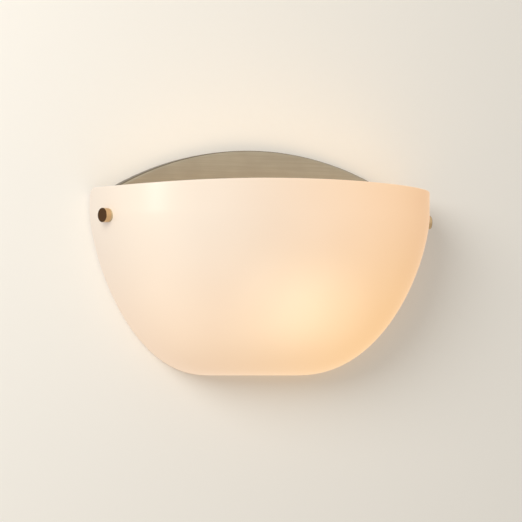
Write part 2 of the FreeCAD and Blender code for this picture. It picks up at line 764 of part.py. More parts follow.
def side_arm(name, side):
    """A strip bent up from its foot on the backplate, standing square to the glass."""
    body = new_body(name)

    def tip(depth):
        across = "(seat_across - %s * cos(arm_lean) - arm_reach * sin(arm_lean))" % depth
        out = "-(knob_wall_distance - %s * sin(arm_lean) + arm_reach * cos(arm_lean))" % depth
        return across, out

    foot = "(%s - arm_foot)" % ARM_OUTER_HEEL
    right = [
        (ARM_OUTER_HEEL, "-plate_depth", "bend_radius"),
        tip(ARM_OUTER),
        tip(ARM_INNER),
        (ARM_INNER_HEEL, "-plate_depth - arm_sheet", "bend_radius - arm_sheet"),
        (foot, "-plate_depth - arm_sheet"),
        (foot, "-plate_depth"),
    ]
    corners = [("%d * %s" % (side, corner[0]),) + corner[1:] for corner in right]
    padded(body, "strip", "XY_Plane", corners, "arm_width", midplane=True)
    doc.recompute()
    front = -number("plate_depth + arm_sheet + bend_radius")
    heel = number(ARM_OUTER_HEEL)

    def short_across(edge):
        return edge.Length < 1.01 * sheet.arm_sheet and abs(edge.BoundBox.ZLength) < 1e-6

    def at_tip(edge):
        return short_across(edge) and edge.CenterOfMass.y < front

    def at_foot(edge):
        return short_across(edge) and abs(edge.CenterOfMass.x) < heel - sheet.arm_rivet_inset

    rounded(body, "tip", edges_where(body.Tip.Shape, at_tip), "arm_end_radius")
    doc.recompute()
    rounded(body, "foot", edges_where(body.Tip.Shape, at_foot), "arm_foot_radius")
    down = Vector(0, 0, -SEAT.z)
    drill(body, "bush_hole", "bush_shank", "2 * (%s)" % ARM_INNER,
          knob_place(side).Base + down, mirrored(NORMAL, side) * -1)
    for lift in (-1, 1):
        drill(body, "rivet_hole", "rivet_diameter", "plate_depth + 4 * arm_sheet",
              arm_rivet_spot(side, lift) + down + Vector(0, -sheet.plate_depth * 2, 0),
              Vector(0, 1, 0))
    body.setExpression("Placement.Base.z", bound(KNOB_HEIGHT))
    return body


def threaded_bush(name, side):
    """A flanged bush in the arm, with its shank staked over behind."""
    bore, flange, shank = "stud_diameter / 2 + screw_play", "bush_diameter / 2", "bush_shank / 2"
    top, seat, back = "-(shade_glass + inner_washer)", "-%s" % ARM_OUTER, "-%s" % ARM_INNER
    staked, end = "(%s + bush_staking)" % shank, "(%s - bush_staking)" % back
    return turned(name, [
        (flange, top), (flange, seat), (shank, seat), (shank, back), (staked, back),
        (shank, end), (bore, end), (bore, top),
    ], knob_place(side))


def ring(name, low, high):
    """A flat ring on the right knob's axis, between two heights off the glass."""
    outer = doc.addObject("Part::Cylinder", name + "_disc")
    inner = doc.addObject("Part::Cylinder", name + "_bore")
    bind(outer, Radius="washer_diameter / 2", Height="%s - (%s)" % (high, low))
    bind(inner, Radius="stud_diameter / 2 + hole_play", Height="%s - (%s)" % (high, low))
    for piece in (outer, inner):
        piece.Placement = knob_place(1, number(low))
    flat = doc.addObject("Part::Cut", name + "_ring")
    flat.Base, flat.Tool = outer, inner
    return flat


def washer_pair(kind, name, flat, form):
    """A ring shaped to the glass on the right, and its mirror image on the left.

    It is cut by the outside of the form, or kept to its inside.
    """
    right = doc.addObject(kind, "right_" + name)
    right.Base, right.Tool = flat, form
    left = doc.addObject("Part::Mirroring", "left_" + name)
    left.Source = right
    left.Normal = Vector(1, 0, 0)
    for washer in (right, left):
        washer.Label = washer.Name


arm_rivets = []
for side, word in ((-1, "left"), (1, "right")):
    side_arm("%s_arm" % word, side)
    threaded_bush("%s_bush" % word, side)
    for lift in (-1, 1):
        spot = arm_rivet_spot(side, lift)
        arm_rivets.append(rivet("arm_rivet", "arm_sheet",
                                wall_spot(spot.x, sheet.plate_depth + sheet.arm_sheet, spot.z)))
group("arm_rivets", arm_rivets)

inside = shaped("shade_inside", shade_form(sheet.shade_glass, sheet.shade_rim_height, 0.0))
outside = shaped("shade_outside", shade_form(0.0, sheet.shade_rim_height, 0.0))
outside.Placement.Base = NORMAL * sheet.seat_gap
washer_pair("Part::Common", "inner_washer",
            ring("inner", "-(shade_glass + inner_washer)", "-shade_glass / 2"), inside)
washer_pair("Part::Cut", "outer_washer",
            ring("outer", "-outer_washer", "outer_washer + seat_gap"), outside)


# ---------------------------------------------------------------------------------------------
# Clamping knobs, each a solid head on a threaded stud.

def knob(name, side):
    edge, stud = "knob_diameter / 2", "stud_diameter / 2"
    base = sheet.outer_washer + sheet.seat_gap
    return turned(name, [
        ("0", "stud_in_knob"), (stud, "stud_in_knob"), (stud, "0"),
        (edge, "0"), (edge, "knob_length", "knob_edge_radius"), ("0", "knob_length"),
    ], knob_place(side, base))


def stud(name, side):
    thread = "stud_diameter / 2"
    top = "outer_washer + seat_gap + stud_in_knob"
    end = "-(%s + stud_past_arm)" % ARM_INNER
    point = "stud_point"
    return turned(name, [
        ("0", end), ("%s - %s" % (thread, point), end), (thread, "%s + %s" % (end, point)),
        (thread, top), ("0", top),
    ], knob_place(side))


for side, word in ((-1, "left"), (1, "right")):
    knob("%s_knob" % word, side)
    stud("%s_stud" % word, side)


# ---------------------------------------------------------------------------------------------
# Lampholder on its bracket, lying along X.

def lamp_place(along):
    """Placement that turns local +Z along the lamp's axis, starting at this X."""
    return Placement(Vector(along, -sheet.lamp_wall_distance, -sheet.lamp_drop), LAMP_AXIS)


def holder_bracket():
    body = new_body("lampholder_bracket")
    face, back = "-holder_back", "(-holder_back - bracket_sheet)"
    end = "-(lamp_wall_distance + bracket_reach)"
    padded(body, "strip", "XY_Plane", [
        (face, "-plate_depth", "bend_radius"), (face, end), (back, end),
        (back, "-plate_depth - bracket_sheet", "bend_radius - bracket_sheet"),
        ("-holder_back - bracket_foot", "-plate_depth - bracket_sheet"),
        ("-holder_back - bracket_foot", "-plate_depth"),
    ], "bracket_width", midplane=True)
    doc.recompute()

    def at_end(edge):
        flat = edge.Length < 1.01 * sheet.bracket_sheet and edge.BoundBox.ZLength < 1e-6
        return flat and edge.CenterOfMass.y < -sheet.lamp_wall_distance
    rounded(body, "end", edges_where(body.Tip.Shape, at_end), "bracket_end_radius")
    start = Vector(-sheet.holder_back - 2 * sheet.bracket_sheet, -sheet.lamp_wall_distance, 0)
    drill(body, "lead_room", "bracket_hole_diameter", "4 * bracket_sheet", start, Vector(1, 0, 0))
    for lift in (-1, 1):
        up = Vector(0, 0, lift * sheet.holder_screw_pitch / 2)
        drill(body, "screw_hole", "holder_screw_diameter + 2 * hole_play", "4 * bracket_sheet",
              start + up, Vector(1, 0, 0))
        spot = bracket_rivet_spot(lift)
        drill(body, "rivet_hole", "rivet_diameter", "2 * plate_depth",
              Vector(spot.x, -sheet.plate_depth * 2, spot.z + sheet.lamp_drop), Vector(0, 1, 0))
    body.setExpression("Placement.Base.z", bound("-lamp_drop"))
    return body


def holder_body():
    """Porcelain body, turned about the lamp's axis, with its mouth at the far end."""
    base, mouth, bore = "holder_base_diameter / 2", "holder_mouth_diameter / 2", "holder_bore / 2"
    rivet_hole = "rivet_diameter / 2"
    body = turned("lampholder_body", [
        (rivet_hole, "0"), (base, "0"), (base, "holder_neck", "holder_swell_radius"),
        (mouth, "holder_swell", "holder_swell_radius"),
        (mouth, "holder_length", "holder_rim_radius"), (bore, "holder_length"),
        (bore, "holder_base"), (rivet_hole, "holder_base"),
    ], lamp_place(-sheet.holder_back))
    doc.recompute()
    up = Vector(0, 0, 1)
    for lift in (-1, 1):
        screw_spot = Vector(lift * sheet.holder_screw_pitch / 2, 0, 0)
        drill(body, "screw_thread", "holder_screw_diameter", "holder_screw_depth",
              screw_spot, up)
        lead_spot = Vector(0, lift * sheet.lead_hole_pitch / 2, -sheet.holder_base / 2)
        drill(body, "lead_hole", "lead_hole_diameter", "2 * holder_base", lead_spot, up)
    return body


def holder_shell():
    """Screw shell that the lamp's cap turns in."""
    bore = "(cap_diameter / 2 + shell_play)"
    wall = "(cap_diameter / 2 + shell_play + shell_sheet)"
    floor, rim, hole = "holder_base", "holder_base + shell_height", "shell_hole_diameter / 2"
    return turned("lampholder_shell", [
        (hole, floor), (wall, floor), (wall, rim), (bore, rim),
        (bore, "%s + shell_sheet" % floor), (hole, "%s + shell_sheet" % floor),
    ], lamp_place(-sheet.holder_back))


def holder_contact():
    """Centre contact: a sprung button on a rivet through the porcelain."""
    shank, disc, button = "rivet_diameter / 2", "contact_diameter / 2", "contact_diameter / 3"
    step, top = "holder_base + contact_spring / 3", "holder_base + contact_spring"
    return turned("lampholder_contact", [
        ("0", "0"), (shank, "0"), (shank, "holder_base"), (disc, "holder_base"), (disc, step),
        (button, step), (button, top), ("0", top),
    ], lamp_place(-sheet.holder_back))


holder_bracket()
holder_body()
holder_shell()
holder_contact()
group("bracket_rivets", [
    rivet("bracket_rivet", "bracket_sheet",
          wall_spot(bracket_rivet_spot(lift).x, sheet.plate_depth + sheet.bracket_sheet,
                    bracket_rivet_spot(lift).z)) for lift in (-1, 1)])
group("lampholder_screws", [
    screw("lampholder_screw", "holder_screw_diameter", "holder_screw_depth + bracket_sheet",
          Placement(Vector(-sheet.holder_back - sheet.bracket_sheet, -sheet.lamp_wall_distance,
                           -sheet.lamp_drop + lift * sheet.holder_screw_pitch / 2),
                    Rotation(Vector(0, 1, 0), -90))) for lift in (-1, 1)])


# ---------------------------------------------------------------------------------------------
# The lamp, a household bulb with a screw cap.

LAMP_START = sheet.holder_base + sheet.contact_spring - sheet.holder_back


def globe_join(inset):
    """Where a straight neck side meets the round globe smoothly, both drawn in by the inset."""
    radius = sheet.globe_diameter / 2 - inset
    centre = sheet.lamp_length - sheet.globe_diameter / 2
    across = sheet.lamp_neck_diameter / 2 - inset
    down = centre - sheet.lamp_neck
    away = math.hypot(across, down)
    turn = math.acos(radius / away) - math.atan2(down, across)
    return radius * math.cos(turn), centre + radius * math.sin(turn)


for word, inset in (("outer", 0.0), ("inner", sheet.lamp_glass)):
    across, up = globe_join(inset)
    note("globe_%s_across" % word, across)
    note("globe_%s_up" % word, up)
doc.recompute()


SEAL = "(cap_end - seal_depth)"


def lamp_envelope():
    """Blown glass bulb, a shell of even thickness."""
    in_cap = "(cap_diameter / 2 - cap_sheet)"
    neck = "(lamp_neck_diameter / 2)"
    return turned("lamp_envelope", [
        ("%s - lamp_glass" % in_cap, SEAL), (in_cap, SEAL), (in_cap, "cap_end"),
        (neck, "cap_end + lamp_glass"), (neck, "lamp_neck", "lamp_swell_radius"),
        ("globe_outer_across", "globe_outer_up", None, "globe_diameter / 2"),
        ("0", "lamp_length"),
        ("0", "lamp_length - lamp_glass", None, "-(globe_diameter / 2 - lamp_glass)"),
        ("globe_inner_across", "globe_inner_up"),
        ("%s - lamp_glass" % neck, "lamp_neck", "lamp_swell_radius + lamp_glass"),
        ("%s - lamp_glass" % neck, "cap_end + 2 * lamp_glass"),
    ], lamp_place(LAMP_START))


CAP_FOOT = "(cap_diameter / 2 - cap_crimp)"


def lamp_cap():
    """Thin metal screw cap, crimped in at 45 degrees at its foot, round the insulator."""
    outer, inner = "(cap_diameter / 2)", "(cap_diameter / 2 - cap_sheet)"
    shoulder = "(cap_start + cap_crimp)"
    return turned("lamp_cap", [
        ("%s - cap_sheet" % CAP_FOOT, "cap_start"), (CAP_FOOT, "cap_start"), (outer, shoulder),
        (outer, "cap_end"), (inner, "cap_end"), (inner, "%s + cap_sheet / 2" % shoulder),
        ("%s - cap_sheet" % CAP_FOOT, "cap_start + cap_sheet / 2"),
    ], lamp_place(LAMP_START))


def lamp_insulator():
    return turned("lamp_insulator", [
        ("0", "contact_height"), ("contact_diameter / 2", "contact_height"),
        (CAP_FOOT, "cap_start"), ("0", "cap_start"),
    ], lamp_place(LAMP_START))


def lamp_contact():
    return turned("lamp_contact", [
        ("0", "0"), ("contact_diameter / 2 - contact_height / 2", "0"),
        ("contact_diameter / 2", "contact_height / 2"),
        ("contact_diameter / 2", "contact_height"), ("0", "contact_height"),
    ], lamp_place(LAMP_START))


def lamp_stem():
    """Glass mount that carries the filament, sealed to the neck and pinched at its top."""
    flange = "(cap_diameter / 2 - cap_sheet - lamp_glass)"
    tube, pinch = "stem_diameter / 2", "stem_pinch_diameter / 2"
    return turned("lamp_stem", [
        ("0", SEAL), (flange, SEAL), (flange, "%s + lamp_glass" % SEAL),
        (tube, "%s + seal_depth" % SEAL), (tube, "stem_height - stem_pinch_diameter"),
        (pinch, "stem_height - stem_pinch_diameter / 2"), (pinch, "stem_height"),
        ("0", "stem_height"),
    ], lamp_place(LAMP_START))


def lamp_filament():
    """Two wires that stand on the stem and the filament between them, as one wire form."""
    coil, wire = sheet.filament_diameter / 2, sheet.lead_wire_diameter / 2
    stem_top = sheet.stem_height
    low = Vector(sheet.lead_wire_spread, 0, stem_top - 2 * wire)
    high = Vector(sheet.filament_length / 2, 0, sheet.filament_height)
    pieces = []
    for side in (-1, 1):
        start, end = mirrored(low, side), mirrored(high, side)
        pieces.append(Part.makeCylinder(wire, (end - start).Length, start, end - start))
    left = mirrored(high, -1)
    pieces.append(Part.makeCylinder(coil, (high - left).Length, left, high - left))
    below = Part.makeCylinder(sheet.globe_diameter, stem_top)
    form = pieces[0].fuse(pieces[1:]).cut(below)
    form.Placement = lamp_place(LAMP_START)
    return form


lamp_envelope()
lamp_cap()
lamp_insulator()
lamp_contact()
lamp_stem()
shaped("lamp_filament", lamp_filament())


# ---------------------------------------------------------------------------------------------
# Check every object, then write each piece to its own file.

NODES = [
    "glass_shade", "backplate", "crossbar", "insulation_pad", "lead_grommet", "ground_screw",
    "backplate_screws", "left_arm", "right_arm", "arm_rivets", "left_bush", "right_bush",
    "left_inner_washer", "right_inner_washer", "left_outer_washer", "right_outer_washer",
    "left_knob", "right_knob", "left_stud", "right_stud", "lampholder_bracket",
    "bracket_rivets", "lampholder_body", "lampholder_screws", "lampholder_shell",
    "lampholder_contact", "lamp_contact", "lamp_insulator", "lamp_cap", "lamp_envelope",
    "lamp_stem", "lamp_filament",
]

doc.removeObject(slate.Name)
doc.recompute()
for item in doc.Objects:
    faults = [state for state in item.State if state in ("Invalid", "Error")]
    if faults:
        raise RuntimeError("%s: %s %s" % (item.Label, faults, item.getStatusString()))

os.makedirs("parts", exist_ok=True)
for node in NODES:
    piece = doc.getObjectsByLabel(node)[0]
    if piece.Shape.isNull() or not piece.Shape.isValid() or piece.Shape.Volume <= 0:
        raise RuntimeError("%s has no sound solid" % node)
    piece.Shape.exportStep("parts/%s.step" % node)
    print("%-20s %8.1f mm3, %d solid(s)" % (node, piece.Shape.Volume, len(piece.Shape.Solids)))
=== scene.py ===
# %% [markdown]
# # An uplighter wall sconce
#
# One wall light: a deep pocket of opal glass, clamped by a small metal knob on each side, in
# front of an arched metal backplate. A lamp lies across the inside and shines up the wall.
#
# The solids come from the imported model, which is the fixed frame. This lesson gives them their
# looks: some keep their mesh and get a finish, others are modelled again with finer detail.

import json
import math

import bmesh
import bpy
from mathutils import Matrix, Vector
from mathutils.noise import noise as noise_at

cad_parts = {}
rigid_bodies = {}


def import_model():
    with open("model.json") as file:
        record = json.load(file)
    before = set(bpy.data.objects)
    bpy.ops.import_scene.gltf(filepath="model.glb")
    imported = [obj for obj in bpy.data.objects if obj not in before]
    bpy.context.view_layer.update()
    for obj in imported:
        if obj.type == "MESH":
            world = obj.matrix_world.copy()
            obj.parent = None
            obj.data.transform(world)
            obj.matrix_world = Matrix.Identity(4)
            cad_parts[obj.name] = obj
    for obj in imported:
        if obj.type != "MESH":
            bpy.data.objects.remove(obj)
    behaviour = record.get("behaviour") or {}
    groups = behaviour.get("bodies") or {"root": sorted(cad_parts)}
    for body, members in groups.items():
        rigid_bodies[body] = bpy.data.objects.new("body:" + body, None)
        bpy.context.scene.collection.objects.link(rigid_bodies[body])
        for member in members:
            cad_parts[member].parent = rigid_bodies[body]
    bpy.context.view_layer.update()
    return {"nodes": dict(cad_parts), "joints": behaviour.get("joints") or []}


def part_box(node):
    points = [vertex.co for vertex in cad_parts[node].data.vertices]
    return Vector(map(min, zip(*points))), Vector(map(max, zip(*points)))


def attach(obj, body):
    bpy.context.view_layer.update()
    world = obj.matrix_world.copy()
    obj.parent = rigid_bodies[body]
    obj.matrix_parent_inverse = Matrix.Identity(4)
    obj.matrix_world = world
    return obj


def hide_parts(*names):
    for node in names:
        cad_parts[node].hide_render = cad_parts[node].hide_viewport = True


for leftover in list(bpy.data.objects):
    bpy.data.objects.remove(leftover)
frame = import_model()
MM = 0.001

# %% [markdown]
# ## Small helpers for materials
#
# A colour is easiest to read as the sRGB hex value that a paint chart would give. Shaders work
# in linear light, so one function turns the one into the other. A second function adds one node
# with its settings and its links, which keeps every material short enough to read as a recipe.
# Sizes in a pattern are real sizes, and a noise of scale 1 / size has lumps about that large.

# %% Colours and nodes
def linear(hex_colour):
    """An sRGB hex colour as linear red, green, blue and alpha."""
    parts = [int(hex_colour[n:n + 2], 16) / 255 for n in (1, 3, 5)]
    return [p / 12.92 if p <= 0.04045 else ((p + 0.055) / 1.055) ** 2.4 for p in parts] + [1.0]


def feed(node, inputs):
    """Gives each input a plain value, a hex colour, an output, or a node's first live output."""
    for name, value in inputs.items():
        socket = node.inputs[name] if isinstance(name, int) else next(
            entry for entry in node.inputs if entry.enabled and entry.name == name)
        if isinstance(value, str):
            value = linear(value)
        elif isinstance(value, bpy.types.Node):
            value = next(output for output in value.outputs if output.enabled)
        if isinstance(value, bpy.types.NodeSocket):
            node.id_data.links.new(value, socket)
        else:
            socket.default_value = value


def add_node(tree, kind, inputs=None, **settings):
    """Adds one node with its settings, and feeds its inputs."""
    node = tree.nodes.new("ShaderNode" + kind)
    for name, value in settings.items():
        setattr(node, name, value)
    feed(node, inputs or {})
    return node


def new_material(name, **values):
    """An empty material with its shader, whose own sockets take the values that are uniform."""
    material = bpy.data.materials.new(name)
    material.use_nodes = True
    tree = material.node_tree
    tree.nodes.clear()
    shader = add_node(tree, "BsdfPrincipled",
                      {socket.replace("_", " "): value for socket, value in values.items()})
    add_node(tree, "OutputMaterial", {"Surface": shader})
    return material, tree, shader


def place_in(tree, centre=(0, 0, 0), stretch=(1, 1, 1), turn=(0, 0, 0)):
    """Object coordinates moved to a centre, turned and stretched."""
    spot = add_node(tree, "TexCoord")
    return add_node(tree, "Mapping", {
        "Vector": spot.outputs["Object"], "Location": [-c for c in centre],
        "Rotation": turn, "Scale": stretch})


def in_scene(name, data):
    """A new object with this data, linked into the scene."""
    thing = bpy.data.objects.new(name, data)
    bpy.context.scene.collection.objects.link(thing)
    return thing


print("warm white #FFE6C8 is", [round(c, 3) for c in linear("#FFE6C8")[:3]])

# %% [markdown]
# ## Small helpers for shapes
#
# Most small parts of a lamp are turned on a lathe, so they are one profile spun round an axis.
# `turned` spins such a profile round Z, and `set_on` moves the result on to its own axis. Every
# new piece is then handed to the frame: it rides on a body, so that it moves as the solid does,
# and it says which solid it stands for.

# %% Turned shapes and pieces
def line_through(bm, points):
    """A profile of (radius, height) points in millimetres, as edges in the XZ plane."""
    spots = [bm.verts.new((radius * MM, 0, height * MM)) for radius, height in points]
    return spots + [bm.edges.new(pair) for pair in zip(spots, spots[1:])]


def turned(points, steps):
    """A profile spun once round Z."""
    bm = bmesh.new()
    bmesh.ops.spin(bm, geom=line_through(bm, points), cent=(0, 0, 0), axis=(0, 0, 1),
                   angle=2 * math.pi, steps=steps, use_merge=True)
    bmesh.ops.remove_doubles(bm, verts=bm.verts, dist=0.001 * MM)
    bmesh.ops.recalc_face_normals(bm, faces=bm.faces)
    return bm


def set_on(bm, spot, direction):
    """Turns local +Z to a direction and moves the origin to a spot."""
    turn = Vector(direction).to_track_quat("Z", "Y").to_matrix().to_4x4()
    bmesh.ops.transform(bm, matrix=Matrix.Translation(spot) @ turn, verts=bm.verts)
    return bm


def make_piece(name, bm, material, body, slot, *nodes):
    """Makes the object, which rides on a body and stands for these solids."""
    mesh = bpy.data.meshes.new(name)
    bm.to_mesh(mesh)
    bm.free()
    mesh.shade_smooth()
    mesh.materials.append(material)
    piece = in_scene(name, mesh)
    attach(piece, body)
    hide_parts(*nodes)
    print(name, "has", len(mesh.polygons), "faces and stands for", ", ".join(nodes))
    return piece


EDGE_ANGLE = math.radians(35)


def soften(piece, radius_mm, segments):
    """Rounds the piece's sharp edges."""
    bevel = piece.modifiers.new("soft edges", "BEVEL")
    bevel.width = radius_mm * MM
    bevel.segments = segments
    bevel.limit_method = "ANGLE"
    bevel.angle_limit = EDGE_ANGLE
    bevel.harden_normals = True
    bevel.use_clamp_overlap = True


def in_sheet(piece, thickness_mm):
    """Gives a skin the thickness of its sheet, inwards."""
    sheet = piece.modifiers.new("sheet thickness", "SOLIDIFY")
    sheet.thickness = thickness_mm * MM
    sheet.offset = -1
    return sheet


JOINTS = {joint["name"]: joint for joint in frame["joints"]}


def axis_of(joint):
    """The spot and the direction of a joint's axis."""
    return Vector(JOINTS[joint]["pos_m"]), Vector(JOINTS[joint]["axis"]).normalized()


for name in ("left_knob_turn", "right_knob_turn", "lamp_turn"):
    print(name, [round(c, 4) for c in axis_of(name)[0]], [round(c, 3) for c in axis_of(name)[1]])

# %% [markdown]
# ## Wall and floor, then the camera
#
# The light hangs on a wall, so the backdrop is a plain pale wall just behind it, with a pale
# floor far below. The wall has to be there for the camera and for what metal reflects, but it
# would also shut off the back of the light when the camera goes round behind. So its material
# shows only its front, and only to camera, glossy and transmission rays. Other rays pass. In
# metal and glass it shows as a plain pale surface without shadows, because the narrow gap behind
# the light would otherwise turn the back of the metal black.

# %% Backdrop
REFLECTED_LEVEL = 0.8


def stage_material(name, colour):
    """A plain matt surface that only its front shows, and that lets light pass."""
    material = bpy.data.materials.new(name)
    material.use_nodes = True
    tree = material.node_tree
    tree.nodes.clear()
    path = add_node(tree, "LightPath")
    side = add_node(tree, "NewGeometry")
    mirrored = add_node(tree, "Math", {
        0: path.outputs["Is Glossy Ray"], 1: path.outputs["Is Transmission Ray"]},
        operation="MAXIMUM")
    surface = add_node(tree, "BsdfTransparent")
    paint = add_node(tree, "BsdfDiffuse", {"Color": colour})
    plain = add_node(tree, "Emission", {"Color": colour, "Strength": REFLECTED_LEVEL})
    for rays, look in ((path.outputs["Is Camera Ray"], paint), (mirrored, plain)):
        shown = add_node(tree, "Math", {0: rays, 1: side.outputs["Backfacing"]},
                         operation="SUBTRACT", use_clamp=True)
        surface = add_node(tree, "MixShader", {0: shown, 1: surface, 2: look})
    add_node(tree, "OutputMaterial", {"Surface": surface})
    return material


def backdrop(name, matrix, half_size, colour):
    """One flat sheet, placed apart from the object."""
    bm = bmesh.new()
    bmesh.ops.create_grid(bm, x_segments=1, y_segments=1, size=half_size, matrix=matrix)
    mesh = bpy.data.meshes.new(name)
    bm.to_mesh(mesh)
    bm.free()
    mesh.materials.append(stage_material(name + " paint", colour))
    in_scene(name, mesh)


WALL_COLOUR = "#F9F6F0"
WALL_HALF_SIZE = 1.6
WALL_GAP = 0.5 * MM                 # behind the backplate, so that the two never coincide
FLOOR_COLOUR = "#EDE7DD"
FLOOR_HALF_SIZE = 8.0
FLOOR_DROP = 1.5
to_room = Matrix.Rotation(math.radians(90), 4, "X")
backdrop("wall", Matrix.Translation((0, WALL_GAP, 0)) @ to_room, WALL_HALF_SIZE, WALL_COLOUR)
backdrop("floor", Matrix.Translation((0, 0, -FLOOR_DROP)), FLOOR_HALF_SIZE, FLOOR_COLOUR)
print("backdrop ready")

# %% [markdown]
# The camera stands to the left, a little below the light, and far away with a long lens, which
# is why the picture has almost no perspective. Its place is two angles and a distance from the
# point that it looks at, and its lens is the focal length that was fitted to the picture.

# %% Camera
VIEW_AZIMUTH = math.radians(-29.5)
VIEW_ELEVATION = math.radians(-1.72)
VIEW_DISTANCE = 3.5
VIEW_CENTRE = Vector((-13.7, -42.3, -12.8)) * MM
PHOTO_WIDTH = 522
FOCAL_PIXELS = 3913.0
SENSOR_WIDTH = 36.0                 # millimetres, as the lens

back = Vector((math.sin(VIEW_AZIMUTH) * math.cos(VIEW_ELEVATION),
               -math.cos(VIEW_AZIMUTH) * math.cos(VIEW_ELEVATION), math.sin(VIEW_ELEVATION)))
camera_data = bpy.data.cameras.new("camera")
camera_data.sensor_width = SENSOR_WIDTH
camera_data.lens = FOCAL_PIXELS / PHOTO_WIDTH * SENSOR_WIDTH
camera = in_scene("camera", camera_data)
camera.location = VIEW_CENTRE + back * VIEW_DISTANCE
camera.rotation_euler = (-back).to_track_quat("-Z", "Y").to_euler()
bpy.context.scene.camera = camera
print("lens %.1f mm at %.2f m" % (camera_data.lens, VIEW_DISTANCE))

# %% [markdown]
# ## Light
#
# Two kinds of light fall on the picture. Daylight comes softly from the upper left: one broad
# lamp does that, and an even world fills the shadows. The camera and the metal see that world at
# its full strength, as a plain pale room.

# %% Daylight and fill
bpy.context.scene.view_settings.view_transform = "Standard"
KEY_PLACE = Vector((-1.20, -1.02, 0.62))
KEY_WIDTH, KEY_POWER, KEY_COLOUR = 1.0, 17.2, "#FFFBF5"
FILL_STRENGTH = 0.59
BACKGROUND = "#F3F0EA"

key_data = bpy.data.lights.new("daylight", "AREA")
key_data.shape = "DISK"
key_data.size = KEY_WIDTH
key_data.energy = KEY_POWER
key_data.color = linear(KEY_COLOUR)[:3]
key = in_scene("daylight", key_data)
key.location = KEY_PLACE
key.rotation_euler = (KEY_PLACE - VIEW_CENTRE).to_track_quat("Z", "Y").to_euler()

world = bpy.data.worlds.new("room")
bpy.context.scene.world = world
world.use_nodes = True
sky = world.node_tree
sky.nodes.clear()
path = add_node(sky, "LightPath")
seen = add_node(sky, "Math", {
    0: path.outputs["Is Camera Ray"], 1: path.outputs["Is Glossy Ray"]}, operation="MAXIMUM")
seen = add_node(sky, "Math", {0: seen, 1: path.outputs["Is Transmission Ray"]}, operation="MAXIMUM")
strength = add_node(sky, "MapRange", {"Value": seen, "To Min": FILL_STRENGTH, "To Max": 1.0})
air = add_node(sky, "Background", {"Color": BACKGROUND, "Strength": strength})
add_node(sky, "OutputWorld", {"Surface": air})
print("daylight %.0f W, fill %.2f" % (KEY_POWER, FILL_STRENGTH))

# %% [markdown]
# The second kind is the sconce's own lamp. It is a round warm light just outside the glass bulb,
# and because it sits where the bulb sits, the glow on the wall and the cut-off beside the glass
# fall where the real ones do. The milky inside of the glass throws part of that light up past
# the backplate. A flat light in the mouth of the shade, which the camera doesn't see, does that.

# %% The sconce's own lamp
LAMP_SPOT, LAMP_AXIS = axis_of("lamp_turn")
LAMP_LENGTH = 108 * MM
GLOBE_RADIUS = 30 * MM
GLOBE_CENTRE = LAMP_SPOT + LAMP_AXIS * (LAMP_LENGTH - GLOBE_RADIUS)
BULB_CLEARANCE = 1 * MM
LAMP_POWER, LAMP_COLOUR = 3.4, "#FFD9A8"
MOUTH_PLACE = Vector((0, -55, 46)) * MM
MOUTH_SIZE = (240 * MM, 50 * MM)
MOUTH_POWER, MOUTH_COLOUR = 0.022, "#FFE4C0"

lamp_data = bpy.data.lights.new("lamp glow", "POINT")
lamp_data.shadow_soft_size = GLOBE_RADIUS + BULB_CLEARANCE
lamp_data.energy = LAMP_POWER
lamp_data.color = linear(LAMP_COLOUR)[:3]
lamp_light = in_scene("lamp glow", lamp_data)
lamp_light.location = GLOBE_CENTRE
lamp_light.visible_camera = False

mouth_data = bpy.data.lights.new("mouth glow", "AREA")
mouth_data.shape = "RECTANGLE"
mouth_data.size, mouth_data.size_y = MOUTH_SIZE
mouth_data.energy = MOUTH_POWER
mouth_data.color = linear(MOUTH_COLOUR)[:3]
mouth_light = in_scene("mouth glow", mouth_data)
mouth_light.location = MOUTH_PLACE
mouth_light.rotation_euler = (math.radians(180), 0, 0)
mouth_light.visible_camera = False
mouth_light.visible_glossy = False
print("globe centre", [round(c, 4) for c in GLOBE_CENTRE])

# %% [markdown]
# ## The opal glass
#
# Opal glass is clear glass with a milky layer that scatters light, and its outside here is
# etched to a satin. Nothing shows through it, so it needs no transmission: daylight shades it as
# a white body with a soft gloss. The lamp's light through the glass is painted in as a glow. It
# is paler towards the daylight on the left and more orange on the right and at the foot, with two
# painted hot spots in front of the bulb. Four colours, blended across and down, and two round
# spots give that painted glow. The lamp shines straight on the inside of the glass, so there the
# painted glow is paler and has no spots.

# %% Opal glass
# The glow is painted light: emission that stands in for the lamp's light through the glass.
PAINTED_GLOW_SIDES = (-160 * MM, 160 * MM)
PAINTED_GLOW_HEIGHTS = (40 * MM, -115 * MM)
PAINTED_GLOW_TOP = ("#8F8687", "#B47D43")
PAINTED_GLOW_FOOT = ("#B1937E", "#CE943D")
PAINTED_INSIDE_GLOW_TOP = ("#9C9284", "#BFA07C")
PAINTED_INSIDE_GLOW_FOOT = ("#B89E84", "#CFAE84")
PAINTED_HOT_SPOTS = (Vector((-17, -85, -54)) * MM, Vector((26, -84, -58)) * MM)
PAINTED_HOT_REACH = 75 * MM
PAINTED_HOT_COLOUR = "#504E44"
HAZE_COLOURS = ("#D3C7B2", "#D8CDB9")
ETCHED = (0.30, 0.38)
WAVE_HEIGHT, GRAIN_SHARE = 0.25 * MM, 0.04


